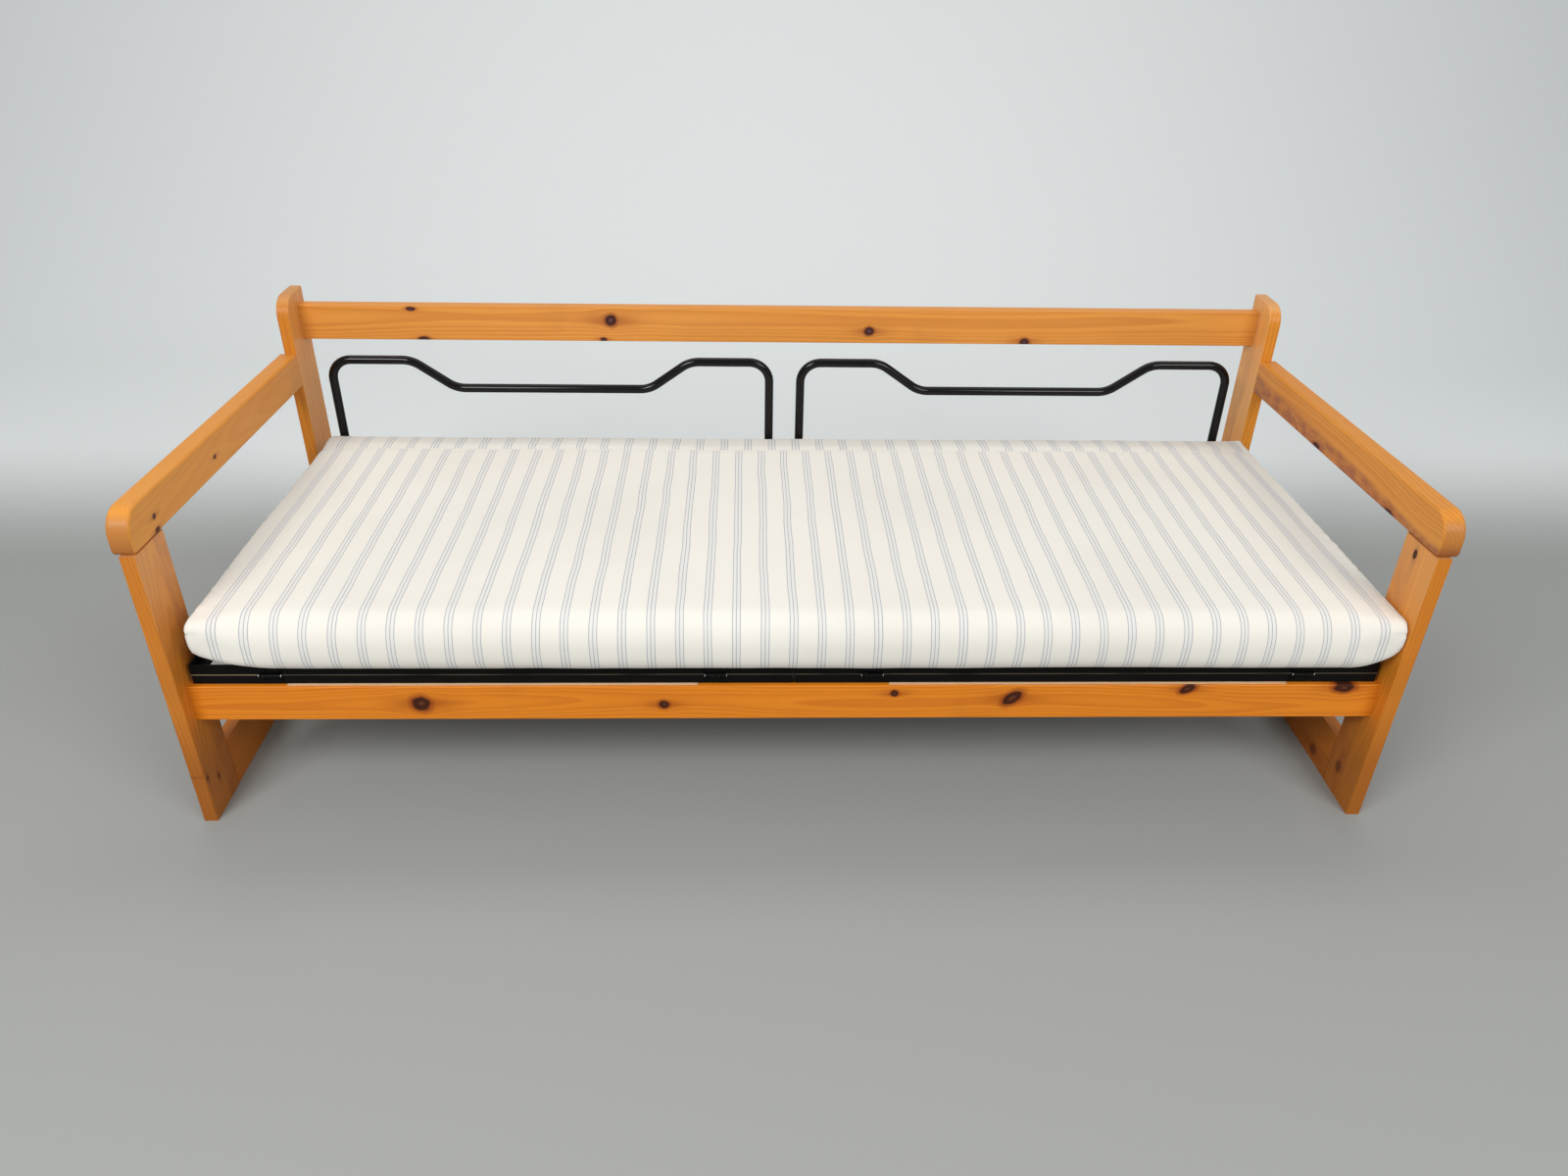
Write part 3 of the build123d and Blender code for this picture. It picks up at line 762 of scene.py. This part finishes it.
for side in sides:
    for level in levels:
        body = "bench_frame" if level == "lower" else side + "_bed_frame"
        netName = f"{side}_{level}_wire_net"
        low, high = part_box(netName)
        size = high - low
        centre = (low + high) / 2
        depth = size.y - 2 * netWork["edgeWire"] - netWork["rowGap"] * 2 * netWork["rowShare"]
        rowCount = round(depth / netWork["rowGap"]) + 1
        net = grow(
            f"{side}_{level}_linked_net",
            netTree,
            {
                "Length": size.x - 2 * netWork["edgeWire"],
                "Depth": depth,
                "Cells": round(size.x / netWork["cell"]),
                "Rows": rowCount,
                "Half thickness": netWork["thickness"],
                "Row width": netWork["rowGap"] * netWork["rowShare"],
                "Wire radius": netWork["wireRadius"],
                "Edge radius": netWork["edgeWire"],
            },
        )
        net.data.transform(Matrix.Translation(centre))
        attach(net, body)
        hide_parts(netName)

        springName = f"{side}_{level}_net_springs"
        places = []
        for low, high in solidsOf(springName):
            middle = (low + high) / 2
            alongY = high.y - low.y > high.x - low.x
            angle, axis = (-math.pi / 2, "X") if alongY else (math.pi / 2, "Y")
            turn = Matrix.Rotation(angle, 4, axis)
            back = Matrix.Translation((0, 0, -springWork["coilLength"] / 2))
            places.append(Matrix.Translation(middle) @ turn @ back)
        springs = joinMeshes(f"{side}_{level}_coil_springs", springPattern.data, places)
        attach(springs, body)
        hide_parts(springName)
bpy.data.objects.remove(springPattern)
print("nets and springs made")


feltStrip = {
    "pale": (0.72, 0.46, 0.25),
    "grey": (0.46, 0.28, 0.14),
    "step": 0.008,
    "inset": 0.0006,
    "drift": 0.0005,
    "rag": 0.0004,
    "edge": 0.0006,
    "lowEdge": 0.0004,
    "topEdge": 0.0005,
}


def feltMaterial():
    paint = Paint("pale_felt", Roughness=0.95, Sheen_Weight=0.4)
    point = paint.point()
    cloud = paint.noise(point, scale=40.0, detail=4.0)
    hair = paint.noise(point, scale=1400.0, detail=3.0, roughness=0.7, distortion=1.5)
    paint.put("Base Color", paint.mix(cloud * 0.6 + hair * 0.4, feltStrip["grey"], feltStrip["pale"]))
    paint.bump(hair, 0.0004, 0.8)
    return paint.material


def feltStrips(name, material):
    # each strip is a soft bar with slightly uneven edges
    edge, lowEdge, topEdge = [feltStrip[key] for key in ("edge", "lowEdge", "topEdge")]
    verts, faces = [], []
    for low, high in solidsOf(name):
        count = round((high.x - low.x) / feltStrip["step"])
        middleY = (low.y + high.y) / 2
        halfWidth = (high.y - low.y) / 2
        start = len(verts)
        for step in range(count + 1):
            x = low.x + (high.x - low.x) * step / count
            drift = noise.noise(Vector((x * 30, low.y, 0))) * feltStrip["drift"]
            rag = noise.noise(Vector((x * 90, low.y, 4))) * feltStrip["rag"]
            front = middleY - halfWidth + feltStrip["inset"] + drift + rag
            back = middleY + halfWidth - feltStrip["inset"] + drift - rag
            ring = [
                (front + lowEdge, low.z),
                (back - lowEdge, low.z),
                (back, low.z + edge),
                (back, high.z - edge),
                (back - topEdge, high.z),
                (front + topEdge, high.z),
                (front, high.z - edge),
                (front, low.z + edge),
            ]
            verts.extend((x, y, z) for y, z in ring)
        around = len(ring)
        for step in range(count):
            for corner in range(around):
                a = start + step * around + corner
                b = start + step * around + (corner + 1) % around
                faces.append((a, b, b + around, a + around))
        faces.append(tuple(start + corner for corner in reversed(range(around))))
        faces.append(tuple(start + count * around + corner for corner in range(around)))
    mesh = bpy.data.meshes.new(name + "_strips")
    mesh.from_pydata(verts, [], faces)
    mesh.update()
    shadeSmooth(mesh)
    mesh.materials.append(material)
    return addObject(name + "_strips", mesh)


feltCloth = feltMaterial()
for name in ("front_rail_felts", "rear_seat_rail_felts"):
    strips = feltStrips(name, feltCloth)
    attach(strips, "bench_frame")
    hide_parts(name)
print("felt strips made")


mattress = {
    "frontTopRadius": 0.048,
    "cornerRadius": 0.021,
    "cornerBlend": (0.100, 0.004),  # the nose tightens over these distances from the end
    "frontLowRadius": 0.036,
    "rearRadius": 0.006,
    "topRim": (0.010, 0.008, 2.0),  # how far in from the end, how deep and how round
    "lowRims": {-1: (0.125, 0.041, 1.6), 1: (0.078, 0.042, 1.9)},
    "rimBlend": 0.55,
    "grid": 0.011,
    "frontSteps": (6, 2, 8),
    "rearSteps": (3, 7, 3),
    "rimRings": (150, 131, 112, 94, 77, 61, 47, 35, 25, 17, 11, 7, 4, 1.5, 0),
    "seamRing": 12,
    "panelRings": 5,
    "startInset": (0.001, 0.003, 0.001),
    "startLift": 0.0003,
    "reachIn": 0.09,
    "stripWidth": 0.070,
    "clothRim": 0.015,  # this close to the rims the stripes are held back by the share that follows
    "clothHold": 0.7,
}


def ease(value, low, high):
    # 0 at low, 1 at high, with soft ends
    t = min(1.0, max(0.0, (value - low) / (high - low)))
    return t * t * (3 - 2 * t)


def spaced(start, end, gap):
    # evenly spaced places from start up to, but without, end
    parts = max(1, round(abs(end - start) / gap))
    return [start + (end - start) * step / parts for step in range(parts)]


def straight(start, end, parts):
    # points from start up to, but without, end
    (startY, startZ), (endY, endZ) = start, end
    shares = [step / parts for step in range(parts)]
    return [(startY + (endY - startY) * share, startZ + (endZ - startZ) * share) for share in shares]


def arc(cy, cz, radius, start, end, count):
    angles = [math.radians(start + (end - start) * step / count) for step in range(count)]
    return [(cy + radius * math.cos(angle), cz + radius * math.sin(angle)) for angle in angles]


def padProfile(low, high, nose):
    # round the pad's section: underside, front nose, top, rear; and the place of the rear seam in it
    top, under, rear = mattress["frontTopRadius"], mattress["frontLowRadius"], mattress["rearRadius"]
    gap = mattress["grid"]
    seamY = high.y - mattress["stripWidth"]
    main = spaced(low.y + top, seamY, gap)
    strip = spaced(seamY, high.y - rear, gap)
    underside = [(y, low.z) for y in reversed(main + strip)]
    first, second, third = mattress["frontSteps"]
    front = arc(low.y + under, low.z + under, under, -90, -180, first)
    front += straight((low.y, low.z + under), (low.y, high.z - nose), second)
    front += arc(low.y + nose, high.z - nose, nose, 180, 90, third)
    upper = [(y, high.z) for y in main + strip]
    first, second, third = mattress["rearSteps"]
    back = arc(high.y - rear, high.z - rear, rear, 90, 0, first)
    back += straight((high.y, high.z - rear), (high.y, low.z + rear), second)
    back += arc(high.y - rear, low.z + rear, rear, 0, -90, third)
    return underside + front + upper + back, len(underside) + len(front) + len(main)


def rimInset(z, distance, lowRim, low, high):
    # how far the pad's skin turns in at this distance from the end, more below than on top
    lift = ease(z, low.z, low.z + mattress["rimBlend"] * (high.z - low.z))
    wide, deep, power = [
        lowSize + (topSize - lowSize) * lift for lowSize, topSize in zip(lowRim, mattress["topRim"])
    ]
    if distance >= wide:
        return 0.0
    return deep * (1 - (1 - (1 - distance / wide) ** power) ** (1 / power))


def padRing(low, high, sign, distance, share):
    # one ring of points at a distance from the end; share closes it towards the middle of the end panel
    blend = ease(distance, *mattress["cornerBlend"])
    nose = mattress["frontTopRadius"] + (mattress["cornerRadius"] - mattress["frontTopRadius"]) * blend
    profile, _ = padProfile(low, high, nose)
    half = (high.z - low.z) / 2
    middleZ = low.z + half
    x = (high.x if sign > 0 else low.x) - sign * distance
    ring = []
    for y, z in profile:
        spineY = min(max(y, low.y + half), high.y - half)
        toSpine = math.dist((y, z), (spineY, middleZ))
        inset = rimInset(z, distance, mattress["lowRims"][sign], low, high) / toSpine
        inset += (1 - inset) * share
        ring.append((x, y + (spineY - y) * inset, z + (middleZ - z) * inset))
    return ring


def padRings(low, high):
    distances = [millimetres / 1000 for millimetres in mattress["rimRings"]]
    shares = [step / mattress["panelRings"] for step in range(1, mattress["panelRings"] + 1)]
    cap = [(distance, 0.0) for distance in distances] + [(0.0, share) for share in shares]
    rings = [padRing(low, high, -1, distance, share) for distance, share in reversed(cap)]
    start, end = low.x + distances[0], high.x - distances[0]
    for x in spaced(start, end, mattress["grid"])[1:]:
        rings.append(padRing(low, high, -1, x - low.x, 0.0))
    return rings + [padRing(low, high, 1, distance, share) for distance, share in cap]


def clothAcross(x, low, high):
    # the place across the stripes, held back a little at the rims
    rim, hold = mattress["clothRim"], mattress["clothHold"]
    fromLeft, fromRight = x - low.x, high.x - x
    return x + hold * max(0.0, rim - fromLeft) - hold * max(0.0, rim - fromRight)


def buildPad(low, high):
    rings = padRings(low, high)
    profile, seam = padProfile(low, high, mattress["frontTopRadius"])
    count, last, panel = len(profile), len(rings) - 1, mattress["panelRings"]
    lengths = [0.0]
    for step in range(count):
        lengths.append(lengths[-1] + math.dist(profile[step], profile[(step + 1) % count]))
    verts, index, spine = [], [], {}
    for number, ring in enumerate(rings):
        row = []
        for point in ring:
            # the two innermost rings close on a line, where opposite points are one
            key = (number, round(point[1], 5))
            if number in (0, last) and key in spine:
                row.append(spine[key])
                continue
            spine[key] = len(verts)
            row.append(len(verts))
            verts.append(point)
        index.append(row)
    faces, cloth = [], []
    for number in range(last):
        onPanel = number < panel or number >= last - panel
        for step in range(count):
            after = (step + 1) % count
            further = number + 1
            corners = ((number, step, 0), (number, after, 1), (further, after, 1), (further, step, 0))
            face, uvs = [], []
            for ring, place, ahead in corners:
                vertex = index[ring][place]
                if vertex in face:
                    continue
                face.append(vertex)
                x, y, z = verts[vertex]
                across = clothAcross(x, low, high)
                if onPanel:
                    uvs.append((y + ticking["panelShift"], z))
                elif step >= seam:
                    across = across * ticking["stripScale"] + ticking["stripShift"]
                    uvs.append((across, lengths[step + ahead]))
                else:
                    uvs.append((across, lengths[step + ahead]))
            if len(face) > 2:
                faces.append(face)
                cloth.extend(uvs)
    mesh = bpy.data.meshes.new("striped_mattress")
    mesh.from_pydata(verts, [], faces)
    layer = mesh.uv_layers.new(name="cloth")
    for loop, uv in zip(layer.data, cloth):
        loop.uv = uv
    mesh.update()
    rim = panel + len(mattress["rimRings"]) - 1 - mattress["seamRing"]
    seams = {
        "rear": [row[seam] for row in index[rim : last - rim + 1]],
        "left": index[rim],
        "right": index[last - rim],
    }
    return mesh, seams


def faceOutwards(mesh):
    form = bmesh.new()
    form.from_mesh(mesh)
    bmesh.ops.recalc_face_normals(form, faces=form.faces)
    form.to_mesh(mesh)
    form.free()


# how the cover takes the pressure from inside
coverCloth = {
    "quality": 6,
    "mass": 0.25,
    "air_damping": 4.0,
    "tension_stiffness": 25.0,
    "compression_stiffness": 25.0,
    "shear_stiffness": 8.0,
    "bending_stiffness": 0.4,
    "use_pressure": True,
    "uniform_pressure_force": 3.5,
    "shrink_min": -0.012,
    "shrink_max": -0.012,
    "vertex_group_mass": "held",
}

swelling = {
    "frames": 20,
    "furthest": 0.005,
    "atRims": 0.3,  # the share of it that is left at the sewn rims
    "endRim": (0.01, 0.09),
    "rearRim": (0.005, 0.05),
    "heldFrom": 0.04,
}


def swellByCloth(piece, low, high):
    # the cover is blown up a little, and each point may move only so far, least at the sewn rims
    rest = [vertex.co.copy() for vertex in piece.data.vertices]
    held = piece.vertex_groups.new(name=coverCloth["vertex_group_mass"])
    heldY = low.y + swelling["heldFrom"]
    underneath = [i for i, co in enumerate(rest) if co.z < low.z + 0.001 and co.y > heldY]
    held.add(underneath, 1.0, "REPLACE")
    cloth = piece.modifiers.new("cloth", "CLOTH")
    for setting, value in coverCloth.items():
        setattr(cloth.settings, setting, value)
    cloth.settings.effector_weights.gravity = 0.0
    cloth.collision_settings.use_collision = False
    cloth.collision_settings.use_self_collision = False
    scene = bpy.context.scene
    for step in range(1, swelling["frames"] + 1):
        scene.frame_set(step)
    swollen = piece.evaluated_get(bpy.context.evaluated_depsgraph_get()).data
    shifts = [vertex.co - start for start, vertex in zip(rest, swollen.vertices)]
    least = swelling["atRims"]
    for start, shift, vertex in zip(rest, shifts, piece.data.vertices):
        fromEnd = ease(min(start.x - low.x, high.x - start.x), *swelling["endRim"])
        fromRear = ease(high.y - start.y, *swelling["rearRim"])
        if shift.length > swelling["furthest"]:
            shift = shift.normalized() * swelling["furthest"]
        freedom = (least + (1 - least) * fromEnd) * (least + (1 - least) * fromRear)
        vertex.co = start + shift * freedom
    piece.modifiers.remove(cloth)
    piece.vertex_groups.clear()
    piece.data.update()
    scene.frame_set(1)


def refine(piece):
    finer = piece.modifiers.new("finer", "SUBSURF")
    finer.levels = finer.render_levels = 1
    smooth = bpy.data.meshes.new_from_object(piece.evaluated_get(bpy.context.evaluated_depsgraph_get()))
    piece.modifiers.clear()
    piece.data = smooth
    shadeSmooth(smooth)


def reach(mesh, low, high):
    # draws the rims out to where the cover really ends
    for axis in (0, 1):
        places = [vertex.co[axis] for vertex in mesh.vertices]
        for limit, extreme in ((low[axis], min(places)), (high[axis], max(places))):
            for vertex in mesh.vertices:
                near = ease(abs(vertex.co[axis] - extreme), mattress["reachIn"], 0.0)
                vertex.co[axis] += (limit - extreme) * near


padLie = {
    "overhang": (0.034, 0.014),
    "droop": 0.0075,
    "droopEnd": 0.07,
    "undulation": 0.0016,
    "pucker": 0.0020,
    "puckerFromEnd": 0.005,
    "puckerWidth": 0.014,
    "crease": 0.0016,
    "seamWidth": 0.009,
    "foldDrop": 0.018,
    "foldWidth": 0.003,
    "rearTaper": 0.008,
    "taperFrom": 0.25,
}


def ridge(distance, width):
    # 1 on a line, falling off evenly on both sides
    return math.exp(-((distance / width) ** 2))


def settle(mesh, low, high):
    # how the pad lies: a drooping front edge, soft waves, puckered rims and a crease at each front corner
    normals = [vertex.normal.copy() for vertex in mesh.vertices]
    for vertex, normal in zip(mesh.vertices, normals):
        x, y, z = vertex.co
        height = ease(z, low.z, high.z)
        fromEnd = min(x - low.x, high.x - x)
        fromFront = y - low.y
        overhang = ease(fromFront, *padLie["overhang"])
        wave = noise.noise(Vector((x * 4.0, y * 4.5, 3.0)))
        wave += 0.5 * noise.noise(Vector((x * 13.0, y * 8.0, 9.0)))
        pinch = noise.noise(Vector((y * 80.0, 2.0 if x > 0 else 7.0, z * 25.0)))
        nearRim = ridge(fromEnd - padLie["puckerFromEnd"], padLie["puckerWidth"])
        nearSeam = ridge(high.y - y - mattress["stripWidth"], padLie["seamWidth"]) * height
        atCorner = ease(fromEnd, 0.04, 0.0) * ease(fromFront, 0.05, 0.01)
        fold = ridge(z - high.z + padLie["foldDrop"], padLie["foldWidth"]) * atCorner
        lift = padLie["undulation"] * wave + padLie["pucker"] * pinch * nearRim
        lift -= padLie["crease"] * (nearSeam + fold)
        vertex.co += normal * lift * max(height, overhang)
        vertex.co.z -= padLie["droop"] * overhang * (1 - height) * ease(fromEnd, 0.0, padLie["droopEnd"])
        if overhang == 0:
            vertex.co.z = max(vertex.co.z, low.z)
        inwards = 1 if x < (low.x + high.x) / 2 else -1
        towardsRear = ease(fromFront, padLie["taperFrom"], high.y - low.y)
        vertex.co.x += inwards * padLie["rearTaper"] * towardsRear * ease(fromEnd, padLie["taperFrom"], 0.0)


ticking = {
    "cotton": (0.800, 0.765, 0.690),
    "shade": (0.715, 0.680, 0.605),
    "line": (0.195, 0.225, 0.315),
    "wash": (0.660, 0.660, 0.650),
    # painted shade for the hollows of the weave
    "weaveShade": (0.55, 0.52, 0.47),
    "pitch": 0.0459,
    "phase": -0.9215,
    "wobble": 0.006,
    "lineGap": 0.0062,
    "lineWidth": 0.00075,
    "bandEdges": (0.0016, -0.0004),
    "bandShare": 0.42,
    "soilShare": 0.55,
    "slubShare": 0.2,
    "weaveShadeShare": 0.05,
    "weave": 0.0011,
    "relief": 0.00022,
    "stripScale": 0.92,
    "stripShift": 0.021,
    "panelShift": 0.013,
}


def tickingMaterial():
    # three thin lines in a faint grey band, again and again across the cloth
    paint = Paint("striped_ticking", Sheen_Weight=0.15, Sheen_Roughness=0.5, Specular_IOR_Level=0.25)
    uv = paint.node("UVMap", {"uv_map": "cloth"})
    across, along = [paint.node("SeparateXYZ", None, {0: uv}, axis) for axis in (0, 1)]
    gap, width = ticking["lineGap"], ticking["lineWidth"]
    wobble = paint.noise(paint.vector(across * 9, along * 7, 0.0), detail=2.0) - 0.5
    turn = (across - ticking["phase"] + wobble * ticking["wobble"]) / ticking["pitch"] + 0.5
    distance = paint.math("ABSOLUTE", (paint.math("FRACT", turn) - 0.5) * ticking["pitch"])
    toLine = paint.math("MINIMUM", distance, paint.math("ABSOLUTE", distance - gap))
    line = paint.smooth(toLine, width * 1.25, width * 0.35)
    band = paint.smooth(distance, *[gap + edge for edge in ticking["bandEdges"]])
    perThread = 2 * math.pi / ticking["weave"]
    weave = paint.math("SINE", across * perThread) * paint.math("SINE", along * perThread)
    thread = paint.noise(paint.vector(across * 700, along * 160, 0.0), detail=2.0)
    slub = paint.noise(paint.vector(across * 900, along * 40, 0.0), detail=2.0)
    soil = paint.noise(paint.point(), scale=3.0, detail=3.0)
    dull = paint.smooth(soil, 0.35, 0.75) * ticking["soilShare"] + slub * ticking["slubShare"]
    colour = paint.mix(dull, ticking["cotton"], ticking["shade"])
    colour = paint.mix(band * ticking["bandShare"], colour, ticking["wash"])
    colour = paint.mix(line * (0.50 + thread * 0.5), colour, ticking["line"])
    # painted shade in the hollows between the threads
    weaveShade = paint.smooth(weave, 0.2, 1.0) * ticking["weaveShadeShare"]
    colour = paint.mix(weaveShade, colour, ticking["weaveShade"])
    paint.put("Base Color", colour)
    paint.put("Roughness", 0.86 + slub * 0.1)
    paint.bump(weave * 0.5 + slub * 0.5, ticking["relief"], 0.5)
    return paint.material


coverLow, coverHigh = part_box("mattress_cover")
inset = Vector(mattress["startInset"])
padLow = coverLow + inset
padLow.z = coverLow.z + mattress["startLift"]
padHigh = coverHigh - inset
padMesh, padSeams = buildPad(padLow, padHigh)
faceOutwards(padMesh)
pad = addObject("striped_mattress", padMesh)
print("mattress grid:", len(padMesh.vertices))
swellByCloth(pad, padLow, padHigh)
print("mattress swollen by cloth simulation")
refine(pad)
reach(pad.data, coverLow, coverHigh)
settle(pad.data, coverLow, coverHigh)
pad.data.materials.clear()
pad.data.materials.append(tickingMaterial())
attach(pad, "mattress")
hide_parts("mattress_cover", "mattress_foam")
print("mattress dressed")


# the seams of the mattress cover
sewing = {
    "cordRadius": 0.0011,
    "cordSides": 7,
    "stitchGap": 0.0042,
    "stitchLength": 0.0028,
    "stitchRadius": 0.00032,
    "stitchSides": 5,
    "thread": (0.74, 0.71, 0.64),
}


def seamGrower(material):
    # a thin welt along a line, with a row of stitches on it
    floats = ("Cord radius", "Stitch gap", "Stitch length", "Stitch radius")
    g = Grower("sewn_seam", Object=("Line",), Float=floats)
    cordRadius = g.given("Cord radius")
    line = g.node("GeometryNodeObjectInfo", None, {"Object": g.given("Line")}, "Geometry")
    welt = g.wire(line, g.circle(cordRadius, sewing["cordSides"]), True)
    spots = g.node(
        "GeometryNodeResampleCurve", {"mode": "LENGTH"}, {"Curve": line, "Length": g.given("Stitch gap")}
    )
    tangent = g.node("GeometryNodeInputTangent")
    turn = g.node("FunctionNodeAlignEulerToVector", {"axis": "Z"}, {"Vector": tangent})
    shape = {
        "Vertices": sewing["stitchSides"],
        "Radius": g.given("Stitch radius"),
        "Depth": g.given("Stitch length"),
    }
    stitch = g.node("GeometryNodeMeshCylinder", None, shape)
    row = {"Points": spots, "Instance": stitch, "Rotation": turn}
    row = g.node("GeometryNodeInstanceOnPoints", None, row)
    lift = {"Instances": row, "Translation": g.vector(0.0, 0.0, cordRadius), "Local Space": False}
    raised = g.node("GeometryNodeTranslateInstances", None, lift)
    g.finish(g.join(welt, raised), material)
    return g


def seamLine(name, places, closed):
    data = bpy.data.curves.new(name, "CURVE")
    data.dimensions = "3D"
    spline = data.splines.new("POLY")
    spline.points.add(len(places) - 1)
    for point, place in zip(spline.points, places):
        point.co = (*place, 1)
    spline.use_cyclic_u = closed
    return addObject(name, data)


def threadMaterial():
    paint = Paint("cotton_thread", Sheen_Weight=0.2, Specular_IOR_Level=0.25)
    twist = paint.noise(paint.point(), scale=900.0, detail=2.0)
    paint.put("Base Color", paint.mix(twist * 0.6, sewing["thread"], [c * 0.75 for c in sewing["thread"]]))
    paint.put("Roughness", 0.8 + twist * 0.15)
    paint.bump(twist, 0.0002, 0.5)
    return paint.material


threadCloth = threadMaterial()
seamTree = seamGrower(threadCloth)
for name, indices in padSeams.items():
    places = [pad.data.vertices[index].co.copy() for index in indices]
    line = seamLine("seam_line", places, name != "rear")
    seam = grow(
        f"mattress_{name}_seam",
        seamTree,
        {
            "Line": line,
            "Cord radius": sewing["cordRadius"],
            "Stitch gap": sewing["stitchGap"],
            "Stitch length": sewing["stitchLength"],
            "Stitch radius": sewing["stitchRadius"],
        },
    )
    bpy.data.objects.remove(line)
    seam.data.materials.clear()
    seam.data.materials.append(threadCloth)
    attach(seam, "mattress")
print("seams sewn:", len(padSeams))


# the floor with the wall behind it, the light and the camera
studio = {
    "floor": (0.33, 0.335, 0.32),
    "wall": (0.74, 0.76, 0.75),
    "front": -7.0,
    "back": 3.4,
    "bend": 1.6,
    "bendSteps": 16,
    "top": 5.0,
    "halfWidth": 9.0,
    "wallFrom": (0.45, 1.2),
    "daylight": (0.93, 0.96, 1.0, 1),
    "strength": 0.42,
    "focalPixels": 1168.86,
    "imageWidth": 1600,
    "sensor": 36.0,
    "camera": (-0.0786, -1.9465, 1.4045),
    "pitch": -31.377,
    "yaw": 2.171,
    "roll": 1.174,
}


# each lamp's place, what it points at, its size and its power
lamps = {
    "window_light": ((-1.8, -2.6, 2.7), (0, 0, 0.3), (1.6, 1.2), 80),
    "room_light": ((2.0, -2.8, 2.5), (0, 0, 0.3), (1.8, 1.4), 58),
    "wall_light": ((0.0, 1.5, 3.9), (0, 2.0, 0.4), (5.0, 1.6), 52),
}


def backdrop():
    # a floor that curves up into a wall behind the bench
    bend, steps, wide = studio["bend"], studio["bendSteps"], studio["halfWidth"]
    bendY = studio["back"] - bend
    section = [(studio["front"], 0.0), (bendY, 0.0)]
    for step in range(1, steps + 1):
        angle = math.pi / 2 * step / steps
        section.append((bendY + bend * math.sin(angle), bend * (1 - math.cos(angle))))
    section.append((studio["back"], studio["top"]))
    verts = [(x, y, z) for x in (-wide, wide) for y, z in section]
    count = len(section)
    faces = [(i, i + count, i + count + 1, i + 1) for i in range(count - 1)]
    mesh = bpy.data.meshes.new("studio_floor")
    mesh.from_pydata(verts, [], faces)
    shadeSmooth(mesh)
    floor = addObject("studio_floor", mesh)
    paint = Paint("studio_paper", Roughness=0.9, Specular_IOR_Level=0.1)
    _, y, z = paint.place()
    tone = paint.smooth(y + z, *studio["wallFrom"])
    paint.put("Base Color", paint.mix(tone, studio["floor"], studio["wall"]))
    mesh.materials.append(paint.material)


def lamp(name, place, target, size, power):
    data = bpy.data.lights.new(name, "AREA")
    data.shape = "RECTANGLE"
    data.size, data.size_y = size
    data.energy = power
    made = addObject(name, data)
    made.location = place
    made.rotation_mode = "QUATERNION"
    made.rotation_quaternion = (Vector(target) - Vector(place)).to_track_quat("-Z", "Y")


def addCamera():
    pitch, yaw, roll = [math.radians(studio[key]) for key in ("pitch", "yaw", "roll")]
    forward = Vector((math.sin(yaw) * math.cos(pitch), math.cos(yaw) * math.cos(pitch), math.sin(pitch)))
    right = Vector((math.cos(yaw), -math.sin(yaw), 0.0))
    up = right.cross(forward)
    levelRight = right * math.cos(roll) + up * math.sin(roll)
    levelUp = up * math.cos(roll) - right * math.sin(roll)
    data = bpy.data.cameras.new("camera")
    data.sensor_width = studio["sensor"]
    data.lens = studio["sensor"] * studio["focalPixels"] / studio["imageWidth"]
    camera = addObject("camera", data)
    turn = Matrix((levelRight, levelUp, -forward)).transposed()
    camera.matrix_world = Matrix.Translation(studio["camera"]) @ turn.to_4x4()
    bpy.context.scene.camera = camera


def addWorld():
    world = bpy.data.worlds.new("studio")
    bpy.context.scene.world = world
    world.use_nodes = True
    background = world.node_tree.nodes["Background"]
    background.inputs["Color"].default_value = studio["daylight"]
    background.inputs["Strength"].default_value = studio["strength"]


backdrop()
for name, (place, target, size, power) in lamps.items():
    lamp(name, place, target, size, power)
addWorld()
addCamera()
bpy.context.scene.view_settings.view_transform = "Standard"
print("studio ready")
